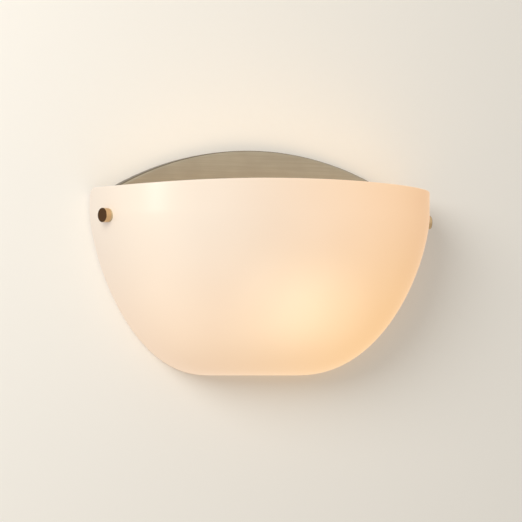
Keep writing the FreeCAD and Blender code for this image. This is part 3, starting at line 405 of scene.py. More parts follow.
def opal_glass(name, painted_glow_top, painted_glow_foot, painted_hot_spots):
    """Milky glass: an even pale body with a soft gloss, slightly wavy, and a painted glow by place.
    """
    material, tree, shader = new_material(name, IOR=1.5, Emission_Strength=1.0)
    place = place_in(tree)
    haze = add_node(tree, "TexNoise", {"Vector": place, "Scale": 1 / (55 * MM), "Detail": 1.0})
    body = add_node(tree, "Mix", {
        "Factor": haze, "A": HAZE_COLOURS[0], "B": HAZE_COLOURS[1]},
        data_type="RGBA")

    spot = add_node(tree, "SeparateXYZ", {0: place})
    across, down = [add_node(tree, "MapRange", {
        "Value": spot.outputs[way], "From Min": start, "From Max": end},
        interpolation_type="SMOOTHSTEP")
        for way, (start, end) in (("X", PAINTED_GLOW_SIDES), ("Z", PAINTED_GLOW_HEIGHTS))]
    above, below = [add_node(tree, "Mix", {
        "Factor": across, "A": left, "B": right}, data_type="RGBA")
        for left, right in (painted_glow_top, painted_glow_foot)]
    glow = add_node(tree, "Mix", {"Factor": down, "A": above, "B": below}, data_type="RGBA")
    # Each painted hot spot adds the lamp's light in front of the bulb.
    for centre in painted_hot_spots:
        away = add_node(tree, "VectorMath", {0: place, 1: centre}, operation="DISTANCE")
        near = add_node(tree, "MapRange", {
            "Value": away, "From Min": PAINTED_HOT_REACH, "From Max": 0.0},
            interpolation_type="SMOOTHERSTEP")
        glow = add_node(tree, "Mix", {
            "Factor": near, "A": glow, "B": PAINTED_HOT_COLOUR},
            data_type="RGBA", blend_type="ADD")

    etching = add_node(tree, "TexNoise", {"Vector": place, "Scale": 1 / (4 * MM)})
    rough = add_node(tree, "MapRange", {"Value": etching, "To Min": ETCHED[0], "To Max": ETCHED[1]})
    wave = add_node(tree, "TexNoise", {"Vector": place, "Scale": 1 / (60 * MM), "Detail": 0.0})
    grain = add_node(tree, "TexNoise", {"Vector": place, "Scale": 1 / (1.5 * MM)})
    relief = add_node(tree, "Math", {0: grain, 1: GRAIN_SHARE, 2: wave}, operation="MULTIPLY_ADD")
    normal = add_node(tree, "Bump", {"Height": relief, "Distance": WAVE_HEIGHT})
    feed(shader, {"Base Color": body, "Emission Color": glow, "Roughness": rough,
                  "Normal": normal})
    return material


# The outside is etched to a satin: a soft, wide gloss, and a painted glow with two painted hot
# spots.
OPAL = opal_glass("opal glass, satin etched", PAINTED_GLOW_TOP, PAINTED_GLOW_FOOT, PAINTED_HOT_SPOTS)
# The inside is lit by the lamp itself, and gets a paler painted glow that evens out towards the
# foot.
OPAL_INSIDE = opal_glass("opal glass, fire polished inside", PAINTED_INSIDE_GLOW_TOP, PAINTED_INSIDE_GLOW_FOOT, ())
print("made", OPAL.name, "and", OPAL_INSIDE.name)

# %% [markdown]
# ## The glass shade
#
# The shade is a pocket with a D-shaped plan. Glass like this is blown or pressed into a mould,
# so it is one smooth wall of even thickness. Seen from above its outline is fuller than an
# ellipse, and below a short upright band both its width and its depth shrink down to the foot.
#
# A half circle is spun from one vertex and pushed out to that fuller curve. Its edge is then
# extruded downwards, ring by ring, and each ring is scaled to the width and depth that it should
# have. The rim is raised into a shallow arc, the floor is closed, and Solidify gives the wall.

# %% Sizes of the shade
SHADE_LOW, SHADE_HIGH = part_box("glass_shade")
HALF_WIDTH = SHADE_HIGH.x
WALL_EDGE = SHADE_HIGH.y
DEPTH = WALL_EDGE - SHADE_LOW.y
FOOT = SHADE_LOW.z
GLASS_MM = 4
RIM = 51 * MM
RIM_ARCH = 8 * MM
BAND_FOOT = RIM - 22 * MM
FLOOR_HALF_WIDTH = 45 * MM
FLOOR_DEPTH = 12 * MM
CORNER = 8 * MM
PLAN_FULLNESS = 1.45
WIDTH_POWER, DEPTH_POWER, FLOOR_POWER = 1.47, 1.80, 2.20


def bowl_size(level):
    """Half width and depth of the shade at a height."""
    share = min(max((BAND_FOOT - level) / (BAND_FOOT - FOOT), 0.0), 1.0)
    width = FLOOR_HALF_WIDTH + (HALF_WIDTH - FLOOR_HALF_WIDTH) * (
        1 - share ** WIDTH_POWER) ** (1 / FLOOR_POWER)
    depth = FLOOR_DEPTH + (DEPTH - FLOOR_DEPTH) * (
        1 - share ** DEPTH_POWER) ** (1 / FLOOR_POWER)
    return width, depth


print("shade %.0f x %.0f x %.0f mm" % tuple(c / MM for c in SHADE_HIGH - SHADE_LOW))

# %% Plan and rings
PLAN_STEPS = 128
RINGS = 26


def to_plan(spot):
    """Moves a spot of the unit half circle out to the shade's fuller plan."""
    swing = math.atan2(-spot.y, abs(spot.x)) / (math.pi / 2)
    share = swing ** 1.5
    corner = 2 * PLAN_FULLNESS * share * (1 - share)
    whole = (1 - share) ** 2 + corner + share ** 2
    across = ((1 - share) ** 2 + corner) / whole
    out = (share ** 2 + corner) / whole
    return Vector((math.copysign(across, spot.x), -out, spot.z))


def ring_below(bm, ring, size, level):
    """Extrudes a ring of edges and gives it the width and depth of a lower level."""
    made = bmesh.ops.extrude_edge_only(bm, edges=ring)["geom"]
    spots = {item for item in made if isinstance(item, bmesh.types.BMVert)}
    width, depth = bowl_size(level)
    drop = level - next(iter(spots)).co.z
    bmesh.ops.scale(bm, verts=list(spots), vec=(width / size[0], depth / size[1], 1),
                    space=Matrix.Translation((0, -WALL_EDGE, 0)))
    bmesh.ops.translate(bm, verts=list(spots), vec=(0, 0, drop))
    edges = [item for item in made if isinstance(item, bmesh.types.BMEdge)
             and all(spot in spots for spot in item.verts)]
    return edges, (width, depth)


def shade_mesh():
    """The skin of the shade, without thickness, open above and towards the wall."""
    bm = bmesh.new()
    start = bm.verts.new((-1, 0, 0))
    bmesh.ops.spin(bm, geom=[start], cent=(0, 0, 0), axis=(0, 0, 1), angle=math.pi,
                   steps=PLAN_STEPS)
    for spot in bm.verts:
        spot.co = to_plan(spot.co)
    bmesh.ops.scale(bm, verts=bm.verts, vec=(HALF_WIDTH, DEPTH, 1))
    bmesh.ops.translate(bm, verts=bm.verts, vec=(0, WALL_EDGE, RIM))
    rim = list(bm.verts)

    ring, size = list(bm.edges), (HALF_WIDTH, DEPTH)
    levels = [RIM - CORNER, BAND_FOOT]
    for step in range(1, RINGS + 1):
        fall = math.sin(math.pi / 2 * step / RINGS) ** (2 / WIDTH_POWER)
        levels.append(BAND_FOOT + (FOOT - BAND_FOOT) * fall)
    for level in levels:
        ring, size = ring_below(bm, ring, size, level)

    made = bmesh.ops.extrude_edge_only(bm, edges=ring)["geom"]
    sole = [item for item in made if isinstance(item, bmesh.types.BMVert)]
    bmesh.ops.scale(bm, verts=sole, vec=(1, 0, 1), space=Matrix.Translation((0, -WALL_EDGE, 0)))

    arc = (HALF_WIDTH ** 2 + RIM_ARCH ** 2) / (2 * RIM_ARCH)
    for spot in rim:
        lift = math.sqrt(arc ** 2 - spot.co.x ** 2) - (arc - RIM_ARCH)
        inside = max(CORNER - (WALL_EDGE - spot.co.y), 0.0)
        spot.co.z += lift - (CORNER - math.sqrt(CORNER ** 2 - inside ** 2))
    bmesh.ops.remove_doubles(bm, verts=bm.verts, dist=0.01 * MM)
    bmesh.ops.recalc_face_normals(bm, faces=bm.faces)
    front = min(bm.faces, key=lambda face: face.calc_center_median().y)
    if front.normal.y > 0:
        bmesh.ops.reverse_faces(bm, faces=bm.faces)
    return bm


shade = make_piece("opal_shade", shade_mesh(), OPAL, "fixture", "opal_glass", "glass_shade")
shade.data.materials.append(OPAL_INSIDE)
wall = in_sheet(shade, GLASS_MM)
wall.use_even_offset = True
wall.material_offset = 1

# %% [markdown]
# The stud of each knob passes through the glass in a drilled hole, with room round it so that
# the metal never touches the glass. A drill is a turned form, and Boolean takes it out of the
# wall. The result is kept as the shade's own mesh, so that the drills can be thrown away. The
# rim's two edges are then rounded, as the fire leaves them.

# %% Stud holes
DRILL_RADIUS, DRILL_END, DRILL_START = 4, -12, 8
DRILL = ((0, DRILL_END), (DRILL_RADIUS, DRILL_END), (DRILL_RADIUS, DRILL_START),
         (0, DRILL_START))
RIM_ROUNDING = 1.3 * MM
SHARP_ANGLE = math.radians(50)
drills = []
for side in ("left", "right"):
    mesh = bpy.data.meshes.new("drill")
    bm = set_on(turned(DRILL, 48), *axis_of(side + "_knob_turn"))
    bm.to_mesh(mesh)
    bm.free()
    drills.append(in_scene("drill", mesh))
    hole = shade.modifiers.new("stud hole", "BOOLEAN")
    hole.object = drills[-1]
    hole.solver = "EXACT"
drilled = bpy.data.meshes.new_from_object(
    shade.evaluated_get(bpy.context.evaluated_depsgraph_get()))
shade.modifiers.clear()
shade.data = drilled
for tool in drills:
    bpy.data.meshes.remove(tool.data)

bm = bmesh.new()
bm.from_mesh(drilled)
sharp = [edge for edge in bm.edges if edge.calc_face_angle(0) > SHARP_ANGLE]
rim = [edge for edge in sharp if min(spot.co.z for spot in edge.verts) > RIM - CORNER]
bmesh.ops.bevel(bm, geom=rim, offset=RIM_ROUNDING, segments=4, profile=0.5, affect="EDGES",
                clamp_overlap=True)
bm.to_mesh(drilled)
bm.free()
drilled.set_sharp_from_angle(angle=SHARP_ANGLE)
shade.modifiers.new("even shading", "WEIGHTED_NORMAL").keep_sharp = True
print("drilled shade has", len(drilled.polygons), "faces")

# %% [markdown]
# ## Satin nickel
#
# The backplate and the side arms are steel, pressed and bent, then plated with nickel and
# brushed. Brushing leaves fine scratches along one direction. They are far too fine to show one
# by one, so they are drawn coarser, as streaks that vary the roughness and the height a little.
# A metal's colour is the colour of its reflections, here a warm grey.

# %% Satin nickel
STREAK_WIDTH, STREAK_HEIGHT = 1.2 * MM, 0.006 * MM


def brushed_metal(name, dark, light, roughness, run=40.0, painted_shade_bands=()):
    """A plated metal with brush marks along X, and any bands of painted shade by depth."""
    material, tree, shader = new_material(name, Metallic=1.0)
    place = place_in(tree)
    streaks = add_node(tree, "TexNoise", {
        "Vector": place_in(tree, stretch=(1 / run, 1, 1)), "Scale": 1 / STREAK_WIDTH,
        "Detail": 3.0})
    cloud = add_node(tree, "TexNoise", {"Vector": place, "Scale": 1 / (25 * MM)})
    mottle = add_node(tree, "Math", {0: streaks, 1: cloud}, operation="MULTIPLY")
    whole = add_node(tree, "MapRange", {"Value": mottle, "To Min": 0.0, "To Max": 2.0})
    colour = add_node(tree, "Mix", {"Factor": whole, "A": dark, "B": light}, data_type="RGBA")
    depth = add_node(tree, "SeparateXYZ", {0: place}).outputs["Y"]
    # Each band paints shade by depth, from the plate's face back towards the wall.
    for start, end, tone in painted_shade_bands:
        reached = add_node(tree, "MapRange", {
            "Value": depth, "From Min": start, "From Max": end},
            interpolation_type="SMOOTHSTEP")
        colour = add_node(tree, "Mix", {
            "Factor": reached, "A": colour, "B": tone}, data_type="RGBA")
    rough = add_node(tree, "MapRange", {
        "Value": streaks, "To Min": roughness - 0.03, "To Max": roughness + 0.04})
    normal = add_node(tree, "Bump", {"Height": streaks, "Distance": STREAK_HEIGHT})
    feed(shader, {"Base Color": colour, "Roughness": rough, "Normal": normal})
    return material


# Nickel gives a warm grey with a wide, streaked sheen. On the plate a dark band of painted
# shade follows the bend behind its face, and a lighter painted shade covers its sides and back.
NICKEL_TONES = ("#A99C88", "#BDB19B")
NICKEL = brushed_metal("satin nickel, brushed", *NICKEL_TONES, 0.38)
# Painted shade: a thin dark line on the bend, then a lighter tone over the sides and back.
PAINTED_BEND_SHADE = (-9.25 * MM, -9.05 * MM, "#4E3C28")
PAINTED_BACK_SHADE = (-8.95 * MM, -8.85 * MM, "#8A7C66")
PLATE_NICKEL_PAINTED_SHADE = brushed_metal("satin nickel, brushed on the face alone", *NICKEL_TONES, 0.38,
                             painted_shade_bands=(PAINTED_BEND_SHADE, PAINTED_BACK_SHADE))
# Zinc plating is colder and brighter, with short marks from the barrel that it is plated in.
ZINC = brushed_metal("zinc plated steel", "#A4A8AA", "#C6C9CA", 0.34, run=6.0)
for node, finish in (("backplate", PLATE_NICKEL_PAINTED_SHADE), ("left_arm", NICKEL), ("right_arm", NICKEL),
                     ("crossbar", ZINC), ("lampholder_bracket", ZINC)):
    frame["nodes"][node].data.materials[0] = finish
print("finished", NICKEL.name, "and", ZINC.name)

# %% [markdown]
# ## The clamping knobs
#
# Each knob is a short turned button, nickel plated. Its colour holds painted reflections: a tan
# side for the pale wall and a near black end face for the dark room. Its edge is slightly rounded
# and its end face is very shallowly dished, as a lathe leaves it. The finish is turned and not
# brushed, so its marks are rings round the axis.

# %% Toned knob metal
LATHE_RING, LATHE_MARK = 0.5 * MM, 0.02 * MM
# Heights where the end face's painted dark reflection fades in.
PAINTED_FACE_STARTS, PAINTED_FACE_ENDS = -0.35 * MM, -0.15 * MM         # below the height of the end face


def turned_metal(name, joint, painted_side_tones, painted_face_tones, face_height, roughness):
    """A lathe-turned metal with rings round a joint's axis, and a painted dark reflection on its
    end face.
    """
    spot, direction = axis_of(joint)
    material, tree, shader = new_material(name, Metallic=1.0)
    turn = direction.to_track_quat("Z", "Y").inverted()
    place = place_in(tree, centre=turn @ spot, turn=turn.to_euler())
    flat = add_node(tree, "VectorMath", {0: place, 1: (1, 1, 0)}, operation="MULTIPLY")
    radius = add_node(tree, "VectorMath", {0: flat}, operation="LENGTH")
    by_radius = add_node(tree, "CombineXYZ", {0: radius})
    rings = add_node(tree, "TexNoise", {"Vector": by_radius, "Scale": 1 / LATHE_RING})
    height = add_node(tree, "SeparateXYZ", {0: place}).outputs["Z"]
    # Painted reflection: the end face gets the dark tone, the side the tan one.
    on_painted_face = add_node(tree, "MapRange", {
        "Value": height, "From Min": face_height + PAINTED_FACE_STARTS,
        "From Max": face_height + PAINTED_FACE_ENDS}, interpolation_type="SMOOTHSTEP")
    painted_side_tone, painted_face_tone = [add_node(tree, "Mix", {
        "Factor": rings, "A": dark, "B": light}, data_type="RGBA")
        for dark, light in (painted_side_tones, painted_face_tones)]
    tone = add_node(tree, "Mix", {"Factor": on_painted_face, "A": painted_side_tone, "B": painted_face_tone},
                    data_type="RGBA")
    rough = add_node(tree, "MapRange", {
        "Value": rings, "To Min": roughness - 0.05, "To Max": roughness + 0.08})
    normal = add_node(tree, "Bump", {"Height": rings, "Distance": LATHE_MARK})
    feed(shader, {"Base Color": tone, "Roughness": rough, "Normal": normal})
    return material


KNOB_RADIUS = 12.7 / 2
KNOB_BASE = 1.4
KNOB_TOP = KNOB_BASE + 5.74
KNOB_RIM, KNOB_DISH = 0.9, 0.15
KNOB_PROFILE = ((0, KNOB_BASE), (KNOB_RADIUS, KNOB_BASE), (KNOB_RADIUS, KNOB_TOP),
                (KNOB_RADIUS - KNOB_RIM, KNOB_TOP), (0, KNOB_TOP - KNOB_DISH))
# Painted reflections: a tan side for the pale wall that the nickel mirrors, and a near black
# end face for the dark room that it mirrors.
KNOB_SIDE_PAINTED_REFLECTION = ("#C7A77E", "#D8BC94")
KNOB_FACE_PAINTED_REFLECTION = ("#573D26", "#674A30")
for side in ("left", "right"):
    joint = side + "_knob_turn"
    finish = turned_metal("nickel, turned, painted reflections, " + side, joint, KNOB_SIDE_PAINTED_REFLECTION, KNOB_FACE_PAINTED_REFLECTION,
                          KNOB_TOP * MM, 0.30)
    knob = make_piece(side + "_button", set_on(turned(KNOB_PROFILE, 64), *axis_of(joint)),
                      finish, side + "_knob", "knob_nickel", side + "_knob")
    soften(knob, 0.3, 3)

# %% [markdown]
# ## Finishes of the small parts
#
# The rest is hardware: brass, fibre, nylon, porcelain and glass. Each finish starts from the
# values that are typical of its material. What they share, a mottled colour and a fine relief,
# is one recipe, which takes the sizes of the patches and of the grain in millimetres.

# %% Mottled finish
def mottled(name, dark, light, patch_mm, grain_mm, relief_mm, rough, **values):
    """Colour in soft patches, with a finer grain in the roughness and in the height."""
    material, tree, shader = new_material(name, **values)
    place = place_in(tree)
    patches = add_node(tree, "TexNoise", {
        "Vector": place, "Scale": 1 / (patch_mm * MM), "Detail": 3.0})
    grain = add_node(tree, "TexNoise", {"Vector": place, "Scale": 1 / (grain_mm * MM)})
    colour = add_node(tree, "Mix", {"Factor": patches, "A": dark, "B": light}, data_type="RGBA")
    roughness = add_node(tree, "MapRange", {"Value": grain, "To Min": rough[0], "To Max": rough[1]})
    normal = add_node(tree, "Bump", {"Height": grain, "Distance": relief_mm * MM})
    feed(shader, {"Base Color": colour, "Roughness": roughness, "Normal": normal})
    return material


# Turned brass: yellow, with a clear but softened reflection.
BRASS = mottled("brass, turned", "#B08D4C", "#C9A864", 3, 0.6, 0.01, (0.22, 0.32), Metallic=1.0)
# Plated rivets: grey and a little dull from the hammer.
RIVET_STEEL = mottled("steel rivets, nickel plated", "#A19C90", "#BDB8AB", 2, 0.8, 0.02,
                      (0.26, 0.36), Metallic=1.0)
# A ground screw is dipped in green lacquer: a coloured gloss with metal under it.
GREEN_STEEL = mottled("steel screw, green dipped", "#1C5B31", "#2A7742", 2, 0.7, 0.02,
                      (0.22, 0.30), Metallic=0.25)
# Vulcanised fibre: tan, dull and clouded like thick paper.
FIBRE = mottled("vulcanised fibre washers", "#C3AF88", "#D6C5A1", 2, 0.4, 0.03, (0.62, 0.75))
# Moulded nylon: off-white, with a waxy half gloss.
NYLON = mottled("nylon, moulded", "#DEDBD2", "#E8E5DD", 6, 0.8, 0.01, (0.42, 0.50),
                Subsurface_Weight=0.1)
# Glazed porcelain: white under a clear hard coat, so it has one sharp reflection.
PORCELAIN = mottled("porcelain, glazed", "#E9E5DB", "#F1EEE6", 9, 1.5, 0.01, (0.08, 0.14),
                    Coat_Weight=0.6, Coat_Roughness=0.04)
# Rolled aluminium: pale and slightly clouded.
ALUMINIUM = mottled("aluminium lamp cap, rolled", "#B4B4B2", "#CFCFCD", 3, 0.7, 0.02,
                    (0.30, 0.42), Metallic=1.0)
# Soft solder: grey and uneven, because it sets in a drop.
SOLDER = mottled("soft solder", "#9C9B96", "#B9B8B2", 1.5, 0.8, 0.05, (0.34, 0.46), Metallic=1.0)
# Pressed black glass: nearly black, with a bright gloss.
BLACK_GLASS = mottled("black glass insulator, pressed", "#0E0F12", "#17181C", 3, 1.2, 0.02,
                      (0.06, 0.12), IOR=1.5)
# Drawn clear glass: seen only by what it bends and mirrors.
CLEAR_GLASS = mottled("clear glass, drawn", "#EEF2F0", "#F6F8F6", 8, 3, 0.02, (0.02, 0.05),
                      IOR=1.5, Transmission_Weight=1.0)
# Drawn tungsten: dark grey wire, here hot enough to glow a little.
TUNGSTEN = mottled("tungsten, drawn wire", "#6E665C", "#8A8074", 0.6, 0.3, 0.005, (0.30, 0.40),
                   Metallic=1.0, Emission_Color="#FFD7A0", Emission_Strength=0.6)
for node, finish in (("left_bush", BRASS), ("right_bush", BRASS),
                     ("left_inner_washer", FIBRE), ("right_inner_washer", FIBRE),
                     ("lampholder_body", PORCELAIN), ("lampholder_contact", BRASS),
                     ("lamp_insulator", BLACK_GLASS), ("lamp_stem", CLEAR_GLASS)):
    frame["nodes"][node].data.materials[0] = finish
print("finished the hardware that keeps its mesh")

# %% [markdown]
# ## Screw threads
#
# A thread is one groove that winds round a rod. It could be a profile swept along a helix, but
# then its two ends need caps. Here the rod is turned with a vertex at many heights, and each
# vertex is pressed in by a wave that depends on its height and on its angle round the axis. The
# wave climbs as the angle grows, which makes the thread right-handed, and it fades out at the
# ends of the thread, as a die or a roller leaves it.

# %% Threads
def along(radius, low, high, step):
    """Profile points at one radius, closely spaced between two heights."""
    count = math.ceil(abs(high - low) / step)
    return [(radius, low + (high - low) * n / count) for n in range(count + 1)]


def cut_thread(bm, low, high, pitch, depth, rolled=False):
    """Presses a right-handed thread into a turned form between two heights."""
    for spot in bm.verts:
        height, radius = spot.co.z / MM, spot.co.xy.length
        fade = min((height - low) / pitch, (high - height) / pitch, 1.0)
        if fade <= 0 or radius < 0.5 * MM:
            continue
        phase = (height / pitch - math.atan2(spot.co.y, spot.co.x) / (2 * math.pi)) % 1.0
        wave = 0.5 - 0.5 * math.cos(2 * math.pi * phase) if rolled else 1 - abs(2 * phase - 1)
        spot.co.xy *= 1 - depth * MM * wave * fade / radius
    return bm


STUD_RADIUS, STUD_PITCH, STUD_GROOVE = 2.5, 0.8, 0.45         # M5
STUD_END, STUD_TOP, STUD_POINT = -15.1, 5.4, 0.6
STUD_PROFILE = ([(0, STUD_END), (STUD_RADIUS - STUD_POINT, STUD_END)]
                + along(STUD_RADIUS, STUD_END + STUD_POINT, STUD_TOP, STUD_PITCH / 8)
                + [(0, STUD_TOP)])
for side in ("left", "right"):
    rod = cut_thread(turned(STUD_PROFILE, 32), STUD_END, STUD_TOP, STUD_PITCH, STUD_GROOVE)
    make_piece(side + "_threaded_stud", set_on(rod, *axis_of(side + "_knob_turn")), ZINC,
               side + "_knob", "zinc_steel", side + "_stud")

# %% [markdown]
# ## Washers outside the glass
#
# Metal must not press on glass, so a soft fibre washer sits between the knob and the shade. It
# is a little smaller than the knob, which hides it from the front. It is turned as a flat ring
# with softened edges, and reaches just into the curve of the glass.

# %% Outer washers
WASHER_HOLE, WASHER_RADIUS = 2.8, 6.1
WASHER_BACK, WASHER_FRONT = -0.5, KNOB_BASE - 0.02
WASHER_PROFILE = ((WASHER_HOLE, WASHER_BACK), (WASHER_RADIUS, WASHER_BACK),
                  (WASHER_RADIUS, WASHER_FRONT), (WASHER_HOLE, WASHER_FRONT),
                  (WASHER_HOLE, WASHER_BACK))
for side in ("left", "right"):
    washer = make_piece(side + "_soft_washer",
                        set_on(turned(WASHER_PROFILE, 64), *axis_of(side + "_knob_turn")),
                        FIBRE, side + "_washer", "fibre", side + "_outer_washer")
    soften(washer, 0.25, 2)

# %% [markdown]
# ## Pan-head screws
#
# The screws are cold headed: a blank is struck into a low dome, and the same blow sinks a cross
# in it. The dome is turned, and then the faces in the middle and in four arms are extruded
# downwards and drawn together, which leaves the sloping walls that a driver centres itself in.

# %% Screws with a cross recess
# All of these are shares of the thread's diameter.
CROSS_REACH, CROSS_CORE, CROSS_DEPTH, CROSS_DRAFT = 0.5, 0.17, 0.34, 0.6
HEAD = ((1, 0), (1, 0.12), (0.92, 0.36), (0.75, 0.52))
HEAD_HEIGHT, TIP_RADIUS, TIP_HEIGHT = 0.6, 0.42, 0.1
SCREW_PITCH, SCREW_GROOVE = 0.175, 0.09
SCREW_STEPS, THREAD_STEP = 32, 0.12


def pan_head_screw(diameter, length):
    """A screw on Z with its head on Z = 0. Its head is twice as wide as its thread."""
    reach, core = CROSS_REACH * diameter, CROSS_CORE * diameter
    top = HEAD_HEIGHT * diameter
    profile = ([(0, -length), (TIP_RADIUS * diameter, -length)]
               + along(diameter / 2, TIP_HEIGHT * diameter - length, 0, THREAD_STEP)
               + [(out * diameter, height * diameter) for out, height in HEAD]
               + [(reach, top), (core, top), (0, top)])
    bm = cut_thread(turned(profile, SCREW_STEPS), -length, 0, SCREW_PITCH * diameter,
                    SCREW_GROOVE * diameter)
    sunk = []
    for face in bm.faces:
        middle = face.calc_center_median()
        if middle.z < (top - 0.01) * MM or middle.xy.length > reach * MM:
            continue
        quarter = math.atan2(middle.y, middle.x) % (math.pi / 2)
        in_arm = min(quarter, math.pi / 2 - quarter) < 1.1 * 2 * math.pi / SCREW_STEPS
        if middle.xy.length < core * MM or in_arm:
            sunk.append(face)
    made = bmesh.ops.extrude_face_region(bm, geom=sunk)["geom"]
    bmesh.ops.delete(bm, geom=sunk, context="FACES")
    floor = [item for item in made if isinstance(item, bmesh.types.BMVert)]
    bmesh.ops.translate(bm, verts=floor, vec=(0, 0, -CROSS_DEPTH * diameter * MM))
    bmesh.ops.scale(bm, verts=floor, vec=(CROSS_DRAFT, CROSS_DRAFT, 1))
    return bm


def joined(forms):
    """Several small forms as one."""
    whole = bmesh.new()
    for bm in forms:
        part = bpy.data.meshes.new("part")
        bm.to_mesh(part)
        bm.free()
        whole.from_mesh(part)
        bpy.data.meshes.remove(part)
    return whole


INTO_ROOM = (0, -1, 0)
BACKPLATE_FRONT, BAR_FRONT = -10 * MM, -2 * MM
LAMP_Y, LAMP_Z = LAMP_SPOT.y, LAMP_SPOT.z
HOLDER_BACK = -80 * MM
HOLDER_EAR = 1.6 * MM
PLATE_SCREW_OUT, GROUND_SCREW_OUT, HOLDER_SCREW_OUT = 60 * MM, 18 * MM, 11 * MM
SCREWS = (
    ("backplate_screw_pair", "backplate_screws", NICKEL, "satin_nickel", 4.0, 10.0, INTO_ROOM,
     [(side * PLATE_SCREW_OUT, BACKPLATE_FRONT, 0) for side in (-1, 1)]),
    ("green_screw", "ground_screw", GREEN_STEEL, "green_screw", 4.0, 2.0, INTO_ROOM,
     [(GROUND_SCREW_OUT, BAR_FRONT, 0)]),
    ("holder_screw_pair", "lampholder_screws", ZINC, "zinc_steel", 3.0, 7.6, (-1, 0, 0),
     [(HOLDER_BACK - HOLDER_EAR, LAMP_Y, LAMP_Z + side * HOLDER_SCREW_OUT)
      for side in (-1, 1)]),
)
for name, node, finish, slot, diameter, length, direction, spots in SCREWS:
    screws = joined(set_on(pan_head_screw(diameter, length), spot, direction) for spot in spots)
    make_piece(name, screws, finish, "fixture", slot, node)

# %% [markdown]
# ## Rivets
#
# Each side arm and the lampholder's bracket is held by two rivets. A rivet is pushed through
# both sheets and its plain end is hammered flat behind them. Its head is a shallow dome, turned
# here from an arc, and the tail behind the sheet is wider than the hole.

# %% Rivets
def dome(radius, height, steps=7):
    """Profile points of a shallow dome from its edge on Z = 0 up to its top."""
    sphere = (radius ** 2 + height ** 2) / (2 * height)
    opening = math.asin(radius / sphere)
    return [(sphere * math.sin(opening * (1 - n / steps)),
             height - sphere + sphere * math.cos(opening * (1 - n / steps)))
            for n in range(steps + 1)]


SHANK_RADIUS, TAIL_RADIUS, TAIL_HEIGHT, TAIL_EDGE = 1.6, 2.16, 0.96, (1.9, 0.3)
HEAD_RADIUS, HEAD_RISE = 2.7, 1.44


def rivet(sheets):
    """A rivet on Z with its head on Z = 0, through sheets of this thickness."""
    tail = -(sheets + TAIL_HEIGHT)
    profile = [(0, tail), (TAIL_EDGE[0], tail), (TAIL_RADIUS, tail + TAIL_EDGE[1]),
               (TAIL_RADIUS, -sheets), (SHANK_RADIUS, -sheets), (SHANK_RADIUS, 0)]
    return turned(profile + dome(HEAD_RADIUS, HEAD_RISE), 32)


TWO_SHEETS, SHEETS_FRONT = 2.8, -11.6
ARM_RIVETS = [(side * 140.85, height) for side in (-1, 1) for height in (21.5, 29.5)]
BRACKET_RIVETS = [(-93.0, height) for height in (-59.0, -43.0)]
for name, node, spots in (("arm_rivet_set", "arm_rivets", ARM_RIVETS),
                          ("bracket_rivet_set", "bracket_rivets", BRACKET_RIVETS)):
    rivets = joined(set_on(rivet(TWO_SHEETS), Vector((across, SHEETS_FRONT, height)) * MM,
                           INTO_ROOM) for across, height in spots)
    make_piece(name, rivets, RIVET_STEEL, "fixture", "rivet_steel", node)

# %% [markdown]
# ## Grommet
#
# The leads come through the backplate in a moulded nylon grommet, so that the sheet's edge
# cannot cut them. It is one turned form: a round flange in front, a neck through the sheet, and
# a snap ridge behind. A rounded edge on a moulding is as much for the mould as for the eye.

# %% Grommet
GROMMET_HEIGHT = 25 * MM
GROMMET_PROFILE = ((4.0, -2.8), (5.9, -2.8), (6.6, -1.2), (6.0, -1.2), (6.0, 0), (8.5, 0),
                   (8.3, 0.7), (7.0, 1.5), (4.5, 1.5), (4.0, 1.0), (4.0, -2.8))
grommet = make_piece("nylon_grommet",
                     set_on(turned(GROMMET_PROFILE, 64), (0, BACKPLATE_FRONT, GROMMET_HEIGHT),
                            INTO_ROOM),
                     NYLON, "fixture", "nylon", "lead_grommet")
soften(grommet, 0.2, 2)

# %% [markdown]
# ## Insulation mat
#
# Between the backplate and the wall box lies a mat of needled glass fibre, which keeps the
# lamp's heat from the wiring. It is soft and uneven, and thinner along its cut edges. It starts
# as a grid with its corners drawn round and an opening for the grommet. The grid is extruded to
# the mat's thickness, and its free side is pressed in by a soft noise and along the edges.

# %% Glass fibre
def fibre_mat():
    """Needled glass fibre: matt, off-white, with hair-like marks drawn coarser than real."""
    material, tree, shader = new_material("glass fibre mat, needled", Sheen_Weight=0.3)
    hairs, crossing = [add_node(tree, "TexNoise", {
        "Vector": place_in(tree, stretch=stretch, turn=turn), "Scale": 1 / (0.8 * MM),
        "Detail": 4.0})
        for stretch, turn in (((0.2, 1, 1), (0, 0.5, 0)), ((1, 1, 0.2), (0, -0.3, 0)))]
    felt = add_node(tree, "Math", {0: hairs, 1: crossing}, operation="ADD")
    half = add_node(tree, "MapRange", {"Value": felt, "To Min": 0.0, "To Max": 0.5})
    colour = add_node(tree, "Mix", {
        "Factor": half, "A": "#CFC9B6", "B": "#EFEBDD"}, data_type="RGBA")
    rough = add_node(tree, "MapRange", {"Value": hairs, "To Min": 0.82, "To Max": 0.95})
    normal = add_node(tree, "Bump", {"Height": felt, "Distance": 0.25 * MM})
    feed(shader, {"Base Color": colour, "Roughness": rough, "Normal": normal})
    return material


